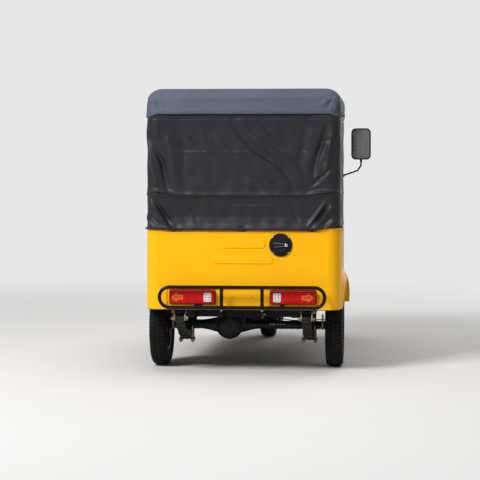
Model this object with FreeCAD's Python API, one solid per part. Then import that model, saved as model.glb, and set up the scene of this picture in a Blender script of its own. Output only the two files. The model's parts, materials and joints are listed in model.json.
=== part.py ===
import FreeCAD, Part
import math
import os

# Auto rickshaw: three wheels, rear passenger tub, folding canvas hood.
# Millimetres. +Y is the vehicle's front, +X its right, +Z up, ground at z = 0.

V = FreeCAD.Vector

# Wheels and axles
TYRE_RADIUS = 265.0
TYRE_WIDTH = 112.0
RIM_SEAT_RADIUS = 152.0
RIM_FLANGE_RADIUS = 165.0
RIM_HALF_WIDTH = 44.0
RIM_WALL = 3.5
HUB_RADIUS = 36.0
SPINDLE_RADIUS = 15.0
REAR_AXLE_Y = -890.0
WHEELBASE = 2000.0
AXLE_Z = TYRE_RADIUS
FRONT_AXLE_Y = REAR_AXLE_Y + WHEELBASE

# Clearances, and a length beyond every piece
FIT = 0.3
RUN_GAP = 6.0
FAR = 3000.0

# Widths that the body sets
BODY_HALF_WIDTH = 612.0
FRONT_HALF_WIDTH = BODY_HALF_WIDTH - 40.0
WHEEL_HALF_TRACK = BODY_HALF_WIDTH - 48.0

# Ladder chassis
RAIL_X = WHEEL_HALF_TRACK - 234.0
RAIL_SIZE = 50.0
RAIL_BOTTOM = 345.0
RAIL_TOP = RAIL_BOTTOM + RAIL_SIZE
RAIL_REAR_Y = -1300.0
RAIL_FRONT_Y = 860.0
REAR_CROSS_Y = (-1240.0, -1190.0)
SPRING_CROSS_Y = (-430.0, -380.0)
OUTRIGGER_YS = (100.0, 600.0)
HOOP_FOOT_TUBE = 19.0
HOOP_BRACE_TUBE = 14.0
HOOP_KNEE_X = RAIL_X - 30.0
HOOP_KNEE_Z = 660.0
TOW_EYE_RADIUS = 12.0
TOW_EYE_DROP = 30.0

# Leaf springs
SPRING_X = RAIL_X + 70.0
LEAF_WIDTH = 58.0
LEAF_PITCH = 8.0
LEAF_THICKNESS = 7.2
SPRING_TOP_Z = 228.0
SPRING_ARC = 925.0
LEAF_HALF_LENGTHS = (430.0, 385.0, 320.0, 250.0, 180.0, 110.0)
EYE_RADIUS = 16.0
PIN_RADIUS = 8.0
PLATE = 6.0
CLAMP_HALF = 44.0
U_BOLT_RADIUS = 5.5
CLIP_SPAN = 215.0
HANGER_PIN = (-1282.0, 379.0)

# Rear axle
TUBE_RADIUS = 27.0
BANJO_X = -118.0
BANJO_RADIUS = 90.0
BANJO_HALF_DEPTH = 52.0
COVER_RADIUS = 73.0
FAIRING_TABLE = (
    # distance from the bowl's centre, radius
    (30.0, 52.0),
    (78.0, 50.0),
    (115.0, 41.0),
    (155.0, 31.0),
    (205.0, TUBE_RADIUS),
)
SHAFT_RADIUS = 20.0
PLUG_X = BANJO_X + 38.0
PLUG_Z = AXLE_Z + 14.0

# Bodywork
WALL = 4.0
PANEL_Y = -1340.0
TUB_FRONT_Y = -532.0
CORNER_RADIUS = 80.0
FLOOR_TOP = RAIL_TOP + WALL
SHOULDER_Z = 884.0
LIP_TOP = 915.0
LIP_INSET = 6.0
LIP_FLANGE = 26.0
BEAD = 3.0
BEAD_HEIGHT = 6.0
ARCH_RADIUS = 305.0
FLARE_RADIUS = 375.0
FLARE_HALF_WIDTH = BODY_HALF_WIDTH + 40.0
FLARE_EDGE = 5.0
WHEEL_HOUSE_X = WHEEL_HALF_TRACK - 70.0

# Rear panel: ribs, lamp channel, filler cap, lamps
RIB_TABLE = (
    # width, height, centre z
    (287.0, 47.0, 807.0),
    (385.0, 50.0, 710.0),
)
RIB_DEPTH = 5.0
RIB_BEVEL = 3.5
CHANNEL_HALF_WIDTH = BODY_HALF_WIDTH - 132.0
CHANNEL_Z = 477.0
CHANNEL_HEIGHT = 100.0
CHANNEL_DEPTH = 6.0
PLATE_HOLE_RADIUS = 3.5
PLATE_HOLE_X = 60.0
CAP_X = 239.0
CAP_Z = 805.0
CAP_RADIUS = 72.0
CAP_LID_RADIUS = 54.0
CAP_SCREW = 49.0
LAMP_X = BODY_HALF_WIDTH - 295.0
LAMP_WIDTH = 287.0
LAMP_HEIGHT = 84.0
LAMP_DEPTH = 38.0
LAMP_CORNER = 9.0
LAMP_RELIEF = 2.0

# Rear bumper loop
BUMPER_TUBE = 11.0
BUMPER_Y = PANEL_Y - 69.0
BUMPER_TOP_Z = 543.0
BUMPER_LOW_Z = 416.0
BUMPER_HALF_WIDTH = BODY_HALF_WIDTH - 95.0
BUMPER_UPRIGHT_X = 127.0
STAY_HALF = 4.0
STAY_Z = (352.0, 384.0)

# Cabin
PARTITION_Y = -112.0
PARTITION_Z = (760.0, 960.0)
BULKHEAD_Y = 745.0
COWL_TOP_Z = 955.0
COWL_FRONT_TOP_Y = 1010.0
COWL_FRONT_LOW_Y = 1130.0
SILL_SIZE = 40.0
ENGINE_COVER_HALF = RAIL_X
ENGINE_COVER_Y = (-90.0, 420.0)
ENGINE_COVER_TOP = 690.0
ENGINE_GAPS = (85.0, 175.0)
ENGINE_X = (ENGINE_GAPS[0] - RAIL_X, RAIL_X - ENGINE_GAPS[1])
ENGINE_Y = (0.0, 380.0)
ENGINE_BOTTOM = 185.0
ENGINE_TOP = 600.0
ENGINE_STEP = (85.0, 60.0)
PEDAL_X = 190.0
LEVER_RADIUS = 7.0
BRAKE_REACH = 250.0
BRAKE_RISE = 180.0
SEAT_TOP_Z = 640.0
SEAT_FRONT_Y = -640.0
SEAT_PAD = 112.0
PAD_EDGE = 24.0
DRIVER_PAD = 80.0
BACK_DEPTH = 86.0
BACK_LEAN = 7.0
BACK_Y = -1168.0
BACK_HEIGHT = 400.0
BACK_HALF = BODY_HALF_WIDTH - 32.0
COWL_CORNER = 140.0
COWL_EDGE = 24.0
HEADLAMP_X = FRONT_HALF_WIDTH - 232.0
HEADLAMP_Z = 760.0
HEADLAMP_RADIUS = 82.0
HEADLAMP_FACE_Y = COWL_FRONT_TOP_Y + 82.0
HEADLAMP_RIM = 6.0
NOSE_ARCH_RADIUS = 270.0
NOSE_ARCH_Z = 480.0
GRILLE_SLOTS = 5
GRILLE_HALF = 110.0
GRILLE_TOP_Z = COWL_TOP_Z - 80.0
GRILLE_PITCH = 22.0
POD_HALF = 95.0
POD_Y = (COWL_FRONT_TOP_Y - 130.0, COWL_FRONT_TOP_Y - 60.0)
POD_HEIGHT = 78.0

# Windscreen
SCREEN_BASE_Y = 985.0
SCREEN_LEAN = 18.0
SCREEN_BAR = 28.0
GLASS = 5.0

# Hood
TUBE = 12.5
RAIL_TUBE = 10.0
CANVAS = 4.0
HOOP_HALF = BODY_HALF_WIDTH - LIP_INSET - TUBE
TAPER_FRONT_Y = 738.0
HOOP_ARC = 82.5
HOOP_TOP_Z = 1767.5
SCREEN_TOP_Z = HOOP_TOP_Z - 53.5
REAR_POST_TOP = HOOP_TOP_Z - HOOP_ARC + 15.0
ROOF_TOP_Z = HOOP_TOP_Z + TUBE + FIT + CANVAS
DOOR_HOOP_Y = -545.0
REAR_BOW_Y = -1240.0
CURTAIN_BOTTOM = LIP_TOP - 24.0
BOW_Z = LIP_TOP + 202.0
VALANCE_BOTTOM = ROOF_TOP_Z - 160.3
VALANCE_KNEE_Z = VALANCE_BOTTOM + 16.0
VALANCE_CREASE_Z = ROOF_TOP_Z - 65.3
FRONT_VALANCE = 66.0
CURTAIN_TOP = VALANCE_BOTTOM + 12.0
ROOF_FRONT_Y = 815.0

# Mirrors
MIRROR_X = FRONT_HALF_WIDTH + 128.0
MIRROR_Y = 850.0
MIRROR_Z = 1455.0
MIRROR_WIDTH = 143.0
MIRROR_HEIGHT = 230.0
MIRROR_DEPTH = 28.0
MIRROR_ARM = 6.0
MIRROR_FOOT_Z = 1221.0

# Steering
STEER_RAKE = 20.0
STEER_OFFSET = 43.0
STEER_Y = FRONT_AXLE_Y - STEER_OFFSET
STEM_RADIUS = 15.0
HEAD_RADIUS = 28.0
HEAD_START = 399.0
HEAD_END = 601.0
FORK_X = 90.0
FORK_RADIUS = 18.0
GUARD_RADIUS = 300.0
GUARD_HALF_WIDTH = 70.0
BAR_ABOVE_COWL = 130.0
BAR_HEIGHT = (COWL_TOP_Z - AXLE_Z) / math.cos(math.radians(STEER_RAKE)) + BAR_ABOVE_COWL
BAR_RADIUS = 11.0
GRIP_RADIUS = 17.0

# Silencer
SILENCER_X = 110.0
SILENCER_Z = 272.0
SILENCER_Y = (-560.0, -170.0)
SILENCER_RADIUS = 52.0
TAIL_PIPE = (60.0, 140.0, 30.0)


def box(x, y, z):
    """Box from three (low, high) pairs."""
    size = [max(pair) - min(pair) for pair in (x, y, z)]
    return Part.makeBox(size[0], size[1], size[2], V(min(x), min(y), min(z)))


def rod(start, end, radius):
    """Round bar between two points."""
    first, last = V(*start), V(*end)
    along = last - first
    return Part.makeCylinder(radius, along.Length, first, along)


def ball(centre, radius):
    return Part.makeSphere(radius, V(*centre))


def tube_run(points, radius):
    """Round bar along straight runs, with a ball at each corner."""
    pieces = [rod(a, b, radius) for a, b in zip(points, points[1:])]
    pieces += [ball(p, radius) for p in points[1:-1]]
    return fuse(pieces)


def fuse(pieces):
    """One shape from a list of pieces."""
    whole = pieces[0]
    if len(pieces) > 1:
        whole = pieces[0].multiFuse(pieces[1:])
    return whole.removeSplitter()


def mirrored(shape):
    """The same piece on the other side of the vehicle."""
    return shape.mirror(V(0, 0, 0), V(1, 0, 0))


def pair(shape):
    """A right piece and its left twin, as two solids."""
    return Part.makeCompound([shape, mirrored(shape)])


def face(points):
    """Flat face from corner points."""
    corners = [V(*p) for p in points]
    return Part.Face(Part.makePolygon(corners + corners[:1]))


def extrude_x(outline, x0, x1):
    """Solid from a (y, z) outline."""
    return face([(x0, y, z) for y, z in outline]).extrude(V(x1 - x0, 0, 0))


def extrude_y(outline, y0, y1):
    """Solid from an (x, z) outline."""
    return face([(x, y0, z) for x, z in outline]).extrude(V(0, y1 - y0, 0))


def extrude_z(outline, z0, z1):
    """Solid from an (x, y) outline."""
    return face([(x, y, z0) for x, y in outline]).extrude(V(0, 0, z1 - z0))


def outer_edges(shape, y):
    """Edges that lie in the rearmost plane of a piece."""
    return [e for e in shape.Edges if e.CenterOfMass.y < y + 0.01]


def rounded_plan(half, rear, radius, front, z0, z1):
    """Plan with two rounded rear corners, extruded upwards."""
    turn = radius * math.sqrt(0.5)
    centre_x, centre_y = half - radius, rear + radius
    p = [
        V(half, front, z0),
        V(half, centre_y, z0),
        V(centre_x + turn, centre_y - turn, z0),
        V(centre_x, rear, z0),
        V(-centre_x, rear, z0),
        V(-centre_x - turn, centre_y - turn, z0),
        V(-half, centre_y, z0),
        V(-half, front, z0),
    ]
    edges = [
        Part.LineSegment(p[0], p[1]).toShape(),
        Part.Arc(p[1], p[2], p[3]).toShape(),
        Part.LineSegment(p[3], p[4]).toShape(),
        Part.Arc(p[4], p[5], p[6]).toShape(),
        Part.LineSegment(p[6], p[7]).toShape(),
        Part.LineSegment(p[7], p[0]).toShape(),
    ]
    return Part.Face(Part.Wire(edges)).extrude(V(0, 0, z1 - z0))


def taper(y):
    """How far the sides have come inwards at a place along the body."""
    share = (y - TUB_FRONT_Y) / (TAPER_FRONT_Y - TUB_FRONT_Y)
    return max(0.0, min(1.0, share)) * (BODY_HALF_WIDTH - FRONT_HALF_WIDTH)


def tapered_strip(outer, inner, y0, y1, z0, z1):
    """Right strip along the tapering side, between two distances inside it."""
    half = BODY_HALF_WIDTH
    outline = [(half - taper(y0) - outer, y0), (half - taper(y1) - outer, y1),
               (half - taper(y1) - inner, y1), (half - taper(y0) - inner, y0)]
    return extrude_z(outline, z0, z1)


def tub_plan(inset, z0, z1, front=TUB_FRONT_Y):
    """Plan of the rear body, moved inwards by the inset."""
    return rounded_plan(
        BODY_HALF_WIDTH - inset, PANEL_Y + inset, CORNER_RADIUS - inset, front, z0, z1)


def arch_wire(half, top, radius, bottom, y0):
    """Roof section with two rounded top corners."""
    turn = radius * math.sqrt(0.5)
    centre_x, centre_z = half - radius, top - radius
    p = [
        V(half, y0, bottom),
        V(half, y0, centre_z),
        V(centre_x + turn, y0, centre_z + turn),
        V(centre_x, y0, top),
        V(-centre_x, y0, top),
        V(-centre_x - turn, y0, centre_z + turn),
        V(-half, y0, centre_z),
        V(-half, y0, bottom),
    ]
    edges = [
        Part.LineSegment(p[0], p[1]).toShape(),
        Part.Arc(p[1], p[2], p[3]).toShape(),
        Part.LineSegment(p[3], p[4]).toShape(),
        Part.Arc(p[4], p[5], p[6]).toShape(),
        Part.LineSegment(p[6], p[7]).toShape(),
        Part.LineSegment(p[7], p[0]).toShape(),
    ]
    return Part.Wire(edges)


def wheel_place(shape, x, y, outward=1):
    """Put a wheel piece, made about the X axis, at its axle."""
    if outward < 0:
        shape = mirrored(shape)
    placed = shape.copy()
    placed.translate(V(x, y, AXLE_Z))
    return placed


def steer_place(shape):
    """Put a piece made about the steering axis at its rake."""
    placed = shape.copy()
    placed.rotate(V(0, 0, 0), V(1, 0, 0), STEER_RAKE)
    placed.translate(V(0, STEER_Y, AXLE_Z))
    return placed


def revolve_x(edges):
    """Ring about the X axis from edges in the plane of X and Z."""
    return Part.Face(Part.Wire(edges)).revolve(V(0, 0, 0), V(1, 0, 0), 360)


def chain(points):
    """Closed outline of lines in the plane of X and Z."""
    corners = [V(x, 0, z) for x, z in points]
    return [Part.LineSegment(a, b).toShape() for a, b in zip(corners, corners[1:] + corners[:1])]


def tyre():
    """Hollow tyre about the X axis."""
    half = TYRE_WIDTH / 2
    crown = TYRE_RADIUS
    seat = RIM_SEAT_RADIUS + 0.4
    flange = RIM_FLANGE_RADIUS
    outline = [
        (-37.2, seat), (-39.4, flange),
        (-half, crown - 55), (-half + 5, crown - 19), (-half + 16, crown - 6),
        (-18, crown), (18, crown),
        (half - 16, crown - 6), (half - 5, crown - 19), (half, crown - 55),
        (39.4, flange), (37.2, seat),
        (24, seat), (half - 13, crown - 20), (-half + 13, crown - 20), (-24, seat),
    ]
    return revolve_x(chain(outline))


def rim(disc_x, hub_in, hub_out, drum):
    """Pressed steel rim, disc and hub about the X axis."""
    seat, flange, half = RIM_SEAT_RADIUS, RIM_FLANGE_RADIUS, RIM_HALF_WIDTH
    well = seat - 14
    outer = [
        (-half, flange), (-half + RIM_WALL, flange), (-half + 6, seat),
        (-22, seat - 2), (-16, well), (16, well), (22, seat - 2),
        (half - 6, seat), (half - RIM_WALL, flange), (half, flange),
        (half - 2.5, seat - RIM_WALL), (24, seat - 5.5), (18, well - RIM_WALL),
        (-18, well - RIM_WALL), (-24, seat - 5.5), (-half + 2.5, seat - RIM_WALL),
    ]
    barrel = revolve_x(chain(outer))
    disc_outline = [
        (disc_x + 4, HUB_RADIUS - 6), (disc_x + 8, 78), (disc_x, 98), (disc_x, well - 2),
        (disc_x - 4, well - 2), (disc_x - 4, 96), (disc_x + 4, 76), (disc_x, HUB_RADIUS - 6),
    ]
    disc = revolve_x(chain(disc_outline))
    for step in range(8):
        angle = math.radians(45 * step)
        y, z = 116 * math.cos(angle), 116 * math.sin(angle)
        disc = disc.cut(rod((disc_x - 10, y, z), (disc_x + 10, y, z), 10))
    pieces = [barrel, disc, rod((hub_in, 0, 0), (hub_out, 0, 0), HUB_RADIUS)]
    if drum:
        drum_shell = rod((hub_in, 0, 0), (disc_x + 4, 0, 0), 76)
        pieces.append(drum_shell.cut(rod((hub_in - 1, 0, 0), (disc_x, 0, 0), 70)))
    return fuse(pieces)


def hub_cap(x0, x1):
    """Domed grease cap."""
    base = rod((x0, 0, 0), (x1 - 8, 0, 0), 26)
    tip = Part.makeCone(26, 20, 8, V(x1 - 8, 0, 0), V(1, 0, 0))
    return fuse([base, tip])


def rear_rim():
    """Rear wheel, made with its outer side towards +X."""
    hub_in, hub_out = -42.0, 26.0
    wheel = fuse([rim(2.0, hub_in, hub_out, True), hub_cap(hub_out - 1, 46.0)])
    return wheel.cut(rod((hub_in - 1, 0, 0), (34, 0, 0), SPINDLE_RADIUS + FIT))


def front_rim():
    """Front wheel, with a hub between the fork legs."""
    wheel = rim(-1.0, -60.0, 60.0, True)
    return wheel.cut(rod((-70, 0, 0), (70, 0, 0), SPINDLE_RADIUS + FIT))


def spring_point(half, depth):
    """Point (y, z) of the spring arc, half a span back from the axle and a depth below its top."""
    radius = SPRING_ARC + depth
    angle = math.asin(half / SPRING_ARC)
    return radius * math.sin(angle), SPRING_TOP_Z + SPRING_ARC - radius * math.cos(angle)


def spring_eye():
    """Eye centre (span, z) above the end of the main leaf."""
    return spring_point(LEAF_HALF_LENGTHS[0] - 8, -(EYE_RADIUS - LEAF_THICKNESS))


def leaf_spring():
    """Right leaf spring: leaves, eyes, clamp, bottom plate and U-bolts."""
    low, high = SPRING_X - LEAF_WIDTH / 2, SPRING_X + LEAF_WIDTH / 2
    centre_z = SPRING_TOP_Z + SPRING_ARC
    pieces = []
    for index, half in enumerate(LEAF_HALF_LENGTHS):
        inner = SPRING_ARC + index * LEAF_PITCH
        ring = rod((low, REAR_AXLE_Y, centre_z), (high, REAR_AXLE_Y, centre_z), inner + LEAF_THICKNESS)
        core = rod((low - 1, REAR_AXLE_Y, centre_z), (high + 1, REAR_AXLE_Y, centre_z), inner)
        span = box((low, high), (REAR_AXLE_Y - half, REAR_AXLE_Y + half), (0, centre_z))
        pieces.append(ring.cut(core).common(span))
    eye_span, eye_z = spring_eye()
    bores = []
    for side in (-1, 1):
        y = REAR_AXLE_Y + side * eye_span
        pieces.append(rod((low, y, eye_z), (high, y, eye_z), EYE_RADIUS))
        bores.append(rod((low - 1, y, eye_z), (high + 1, y, eye_z), PIN_RADIUS + FIT))
    pack_bottom = SPRING_TOP_Z - len(LEAF_HALF_LENGTHS) * LEAF_PITCH
    clamp_y = (REAR_AXLE_Y - CLAMP_HALF, REAR_AXLE_Y + CLAMP_HALF)
    pieces.append(box((low, high), (REAR_AXLE_Y - 6, REAR_AXLE_Y + 6),
                      (pack_bottom, SPRING_TOP_Z - 2)))
    plate_x = (low - 18, high + 18)
    pieces.append(box(plate_x, clamp_y, (pack_bottom - 8, pack_bottom + 1)))
    for side in (-1, 1):
        clip_y, clip_top = spring_point(side * CLIP_SPAN, 0)
        held = 1 + sum(1 for half in LEAF_HALF_LENGTHS[1:] if half > CLIP_SPAN)
        clip = box((low - 3, high + 3), (-11, 11), (-held * LEAF_PITCH - 2, 3))
        clip.rotate(V(0, 0, 0), V(1, 0, 0), math.degrees(math.asin(side * CLIP_SPAN / SPRING_ARC)))
        clip.translate(V(0, REAR_AXLE_Y + clip_y, clip_top))
        pieces.append(clip)
    leg = TUBE_RADIUS + FIT + U_BOLT_RADIUS
    for x in (low - 9, high + 9):
        for side in (-1, 1):
            y = REAR_AXLE_Y + side * leg
            pieces.append(rod((x, y, pack_bottom - 24), (x, y, AXLE_Z), U_BOLT_RADIUS))
            pieces.append(rod((x, y, pack_bottom - 18), (x, y, pack_bottom - 8), 9))
        circle = Part.Face(Part.Wire(Part.makeCircle(
            U_BOLT_RADIUS, V(x, REAR_AXLE_Y - leg, AXLE_Z), V(0, 0, 1))))
        pieces.append(circle.revolve(V(x, REAR_AXLE_Y, AXLE_Z), V(1, 0, 0), -180))
    whole = fuse(pieces)
    for bore in bores:
        whole = whole.cut(bore)
    return whole


def shackle():
    """Right rear shackle: two plates on two pins."""
    eye_span, eye_z = spring_eye()
    low_pin = (REAR_AXLE_Y - eye_span, eye_z)
    pieces = []
    reach = LEAF_WIDTH / 2 + 1
    for side in (-1, 1):
        x0 = SPRING_X + side * reach
        x1 = x0 + side * PLATE
        for y, z in (low_pin, HANGER_PIN):
            pieces.append(rod((x0, y, z), (x1, y, z), EYE_RADIUS - 1))
        dy, dz = HANGER_PIN[0] - low_pin[0], HANGER_PIN[1] - low_pin[1]
        length = math.hypot(dy, dz)
        ny, nz = -dz / length * (EYE_RADIUS - 1), dy / length * (EYE_RADIUS - 1)
        outline = [
            (low_pin[0] + ny, low_pin[1] + nz), (HANGER_PIN[0] + ny, HANGER_PIN[1] + nz),
            (HANGER_PIN[0] - ny, HANGER_PIN[1] - nz), (low_pin[0] - ny, low_pin[1] - nz)]
        pieces.append(extrude_x(outline, x0, x1))
    for y, z in (low_pin, HANGER_PIN):
        end = reach + PLATE + 5
        pieces.append(rod((SPRING_X - end, y, z), (SPRING_X + end, y, z), PIN_RADIUS))
    return fuse(pieces)


def chassis_frame():
    """Ladder frame with spring hangers, front hoop and head tube."""
    half = RAIL_SIZE / 2
    z = (RAIL_BOTTOM, RAIL_TOP)
    pieces = []
    for side in (-1, 1):
        pieces.append(box((side * RAIL_X - half, side * RAIL_X + half),
                          (RAIL_REAR_Y, RAIL_FRONT_Y), z))
    hanger_x = SPRING_X + LEAF_WIDTH / 2 + PLATE + 2
    for y in (REAR_CROSS_Y, SPRING_CROSS_Y):
        pieces.append(box((-hanger_x, hanger_x), y, z))
    engine_gap = RAIL_SIZE - 10
    for y in ((ENGINE_Y[0] - engine_gap, ENGINE_Y[0]), (ENGINE_Y[1], ENGINE_Y[1] + engine_gap)):
        pieces.append(box((-RAIL_X, RAIL_X), y, z))
    for y in OUTRIGGER_YS + (SPRING_CROSS_Y[0],):
        end = BODY_HALF_WIDTH - SILL_SIZE
        outline = [(RAIL_X, y), (end - taper(y), y), (end - taper(y + RAIL_SIZE), y + RAIL_SIZE),
                   (RAIL_X, y + RAIL_SIZE)]
        arm = extrude_z(outline, RAIL_TOP - SILL_SIZE, RAIL_TOP)
        pieces += [arm, mirrored(arm)]
    pieces += spring_hangers()
    pieces += front_hoop()
    pieces.append(tow_lug())
    whole = fuse(pieces)
    y, z_pin = HANGER_PIN
    for side in (-1, 1):
        x = side * SPRING_X
        whole = whole.cut(rod((x - 40, y, z_pin), (x + 40, y, z_pin), PIN_RADIUS + FIT))
    head = head_tube_bore()
    return whole.cut(head)


def spring_hangers():
    """Front brackets with their pins and rear bosses on both springs."""
    eye_span, eye_z = spring_eye()
    front_y = REAR_AXLE_Y + eye_span
    width = LEAF_WIDTH / 2
    pieces = []
    for side in (-1, 1):
        x = side * SPRING_X
        for face_side in (-1, 1):
            x0 = x + face_side * (width + 1)
            x1 = x0 + face_side * PLATE
            pieces.append(box((x0, x1), (front_y, SPRING_CROSS_Y[0] + 1),
                              (eye_z - EYE_RADIUS, RAIL_TOP)))
            pieces.append(rod((x0, front_y, eye_z), (x1, front_y, eye_z), EYE_RADIUS))
        end = width + PLATE + 6
        pieces.append(rod((x - end, front_y, eye_z), (x + end, front_y, eye_z), PIN_RADIUS))
        y, z = HANGER_PIN
        pieces.append(rod((x - width, y, z), (x + width, y, z), EYE_RADIUS))
        pieces.append(box((x - width, x + width), (y, REAR_CROSS_Y[0] + 1), (z - 12, z + 12)))
    return pieces


def steer_point(x, along, ahead=0.0):
    """World place of a point given along the steering axis."""
    rake = math.radians(STEER_RAKE)
    y = STEER_Y - along * math.sin(rake) + ahead * math.cos(rake)
    z = AXLE_Z + along * math.cos(rake) + ahead * math.sin(rake)
    return (x, y, z)


def front_hoop():
    """Head tube carried by two bent tubes from the rails."""
    head = rod(steer_point(0, HEAD_START), steer_point(0, HEAD_END), HEAD_RADIUS)
    pieces = [head]
    top = steer_point(0, HEAD_END - 30)
    low = steer_point(0, HEAD_START + 30)
    for side in (-1, 1):
        foot = (side * RAIL_X, RAIL_FRONT_Y - 22, RAIL_TOP - 10)
        knee = (side * HOOP_KNEE_X, RAIL_FRONT_Y - 20, HOOP_KNEE_Z)
        pieces.append(tube_run([foot, knee, top], HOOP_FOOT_TUBE))
        pieces.append(rod(knee, low, HOOP_BRACE_TUBE))
    return pieces


def head_tube_bore():
    return rod(steer_point(0, HEAD_START - 10), steer_point(0, HEAD_END + 10), STEM_RADIUS + FIT)


def tow_lug():
    """Eye plate below the rear cross member."""
    y = sum(REAR_CROSS_Y) / 2
    z = RAIL_BOTTOM - TOW_EYE_DROP
    round_end = TOW_EYE_RADIUS + 13
    plate = box((-6, 6), (y - round_end, y + round_end), (z, RAIL_BOTTOM + 5))
    end = rod((-6, y, z), (6, y, z), round_end)
    hole = rod((-10, y, z), (10, y, z), TOW_EYE_RADIUS)
    return fuse([plate, end]).cut(hole)


def banjo_fairing(side):
    """Smooth flare from the axle tube into one side of the centre bowl."""
    profile = [(BANJO_X + side * reach, 0, radius) for reach, radius in FAIRING_TABLE]
    curve = Part.BSplineCurve()
    curve.interpolate([V(*point) for point in profile])
    start, end = profile[0], profile[-1]
    sides = Part.makePolygon([V(*end), V(end[0], 0, 0), V(start[0], 0, 0), V(*start)])
    outline = Part.Wire([curve.toShape()] + sides.Edges)
    bowl = Part.Face(outline).revolve(V(0, 0, 0), V(1, 0, 0), 360)
    bowl.translate(V(0, REAR_AXLE_Y, AXLE_Z))
    return bowl


def axle_housing():
    """Banjo axle: tubes, centre bowl, cover, nose, spring pads and spindles."""
    tube_end = WHEEL_HALF_TRACK - RIM_HALF_WIDTH - 3
    pieces = [rod((-tube_end, REAR_AXLE_Y, AXLE_Z), (tube_end, REAR_AXLE_Y, AXLE_Z), TUBE_RADIUS)]
    spindle_end = WHEEL_HALF_TRACK + 30
    pieces.append(rod((-spindle_end, REAR_AXLE_Y, AXLE_Z), (spindle_end, REAR_AXLE_Y, AXLE_Z),
                      SPINDLE_RADIUS))
    back, front = REAR_AXLE_Y - BANJO_HALF_DEPTH, REAR_AXLE_Y + BANJO_HALF_DEPTH
    pieces.append(rod((BANJO_X, back, AXLE_Z), (BANJO_X, front, AXLE_Z), BANJO_RADIUS))
    pieces += [banjo_fairing(side) for side in (-1, 1)]
    pieces.append(Part.makeCone(BANJO_RADIUS - 6, COVER_RADIUS, 14, V(BANJO_X, back, AXLE_Z),
                                V(0, -1, 0)))
    pieces.append(Part.makeCone(COVER_RADIUS, 40, 16, V(BANJO_X, back - 14, AXLE_Z), V(0, -1, 0)))
    rib = rod((BANJO_X, back, AXLE_Z), (BANJO_X, back - 34, AXLE_Z), COVER_RADIUS - 10)
    pieces.append(rib.common(box((BANJO_X + 4, BANJO_X + 12), (back - 40, back + 1), (0, FAR))))
    pieces.append(rod((PLUG_X, back, PLUG_Z), (PLUG_X, back - 30, PLUG_Z), 13))
    pieces.append(rod((PLUG_X, back - 30, PLUG_Z), (PLUG_X, back - 37, PLUG_Z), 8))
    pieces.append(Part.makeCone(70, 34, 70, V(BANJO_X, front, AXLE_Z), V(0, 1, 0)))
    pieces.append(rod((BANJO_X, front + 60, AXLE_Z), (BANJO_X, front + 84, AXLE_Z), 42))
    arc_z = SPRING_TOP_Z + SPRING_ARC
    pad_bottom_arc = rod((-spindle_end, REAR_AXLE_Y, arc_z), (spindle_end, REAR_AXLE_Y, arc_z),
                         SPRING_ARC - FIT)
    for side in (-1, 1):
        x = side * SPRING_X
        pad = box((x - LEAF_WIDTH / 2, x + LEAF_WIDTH / 2), (REAR_AXLE_Y - 22, REAR_AXLE_Y + 22),
                  (SPRING_TOP_Z - 3, AXLE_Z))
        pieces.append(pad.common(pad_bottom_arc))
    return fuse(pieces)


def backing_plates():
    """Brake backing plate on each end of the axle tube."""
    tube_end = WHEEL_HALF_TRACK - RIM_HALF_WIDTH - 3
    plate = rod((tube_end - WALL, REAR_AXLE_Y, AXLE_Z), (tube_end, REAR_AXLE_Y, AXLE_Z), 82)
    plate = plate.cut(rod((0, REAR_AXLE_Y, AXLE_Z), (tube_end + 1, REAR_AXLE_Y, AXLE_Z),
                          TUBE_RADIUS + FIT))
    arm = box((tube_end - WALL - 8, tube_end - WALL), (REAR_AXLE_Y + 40, REAR_AXLE_Y + 58),
              (AXLE_Z + 20, AXLE_Z + 100))
    plate = fuse([plate, arm])
    return pair(plate)


def wheel_arch_tool(radius, x0, x1):
    return rod((x0, REAR_AXLE_Y, AXLE_Z), (x1, REAR_AXLE_Y, AXLE_Z), radius)


def arch_flare():
    """Right flare: a tapered band round the wheel arch, down to the floor."""
    low, wide = BODY_HALF_WIDTH - 1, FLARE_HALF_WIDTH
    outline = [(low, ARCH_RADIUS), (wide, ARCH_RADIUS), (wide, ARCH_RADIUS + FLARE_EDGE),
               (low, FLARE_RADIUS)]
    ring = revolve_x(chain(outline))
    ring.translate(V(0, REAR_AXLE_Y, AXLE_Z))
    top = AXLE_Z + FLARE_RADIUS
    reach = wide - BODY_HALF_WIDTH
    keep = extrude_z([
        (low - 1, REAR_AXLE_Y - FLARE_RADIUS), (low + 1, REAR_AXLE_Y - FLARE_RADIUS),
        (low + 0.6 * reach, REAR_AXLE_Y - 0.5 * FLARE_RADIUS),
        (wide, REAR_AXLE_Y + 0.6 * FLARE_RADIUS), (wide, TUB_FRONT_Y), (low - 1, TUB_FRONT_Y)],
        FLOOR_TOP, top)
    return ring.common(keep)


def panel_rib(width, height, z):
    """Raised rib with round ends on the rear panel."""
    radius = height / 2
    reach = width / 2 - radius
    y0, y1 = PANEL_Y - RIB_DEPTH, PANEL_Y + 1
    pad = box((-reach, reach), (y0, y1), (z - radius, z + radius))
    ends = [rod((side * reach, y0, z), (side * reach, y1, z), radius) for side in (-1, 1)]
    rib = fuse([pad] + ends)
    return rib.makeChamfer(RIB_BEVEL, outer_edges(rib, y0))


def channel_prism(half, height, depth, y_start):
    """Shallow channel volume with slanting ends."""
    outline = [(-half, y_start), (half, y_start), (half - depth, y_start + depth),
               (-half + depth, y_start + depth)]
    return extrude_z(outline, CHANNEL_Z - height / 2, CHANNEL_Z + height / 2)


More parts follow.
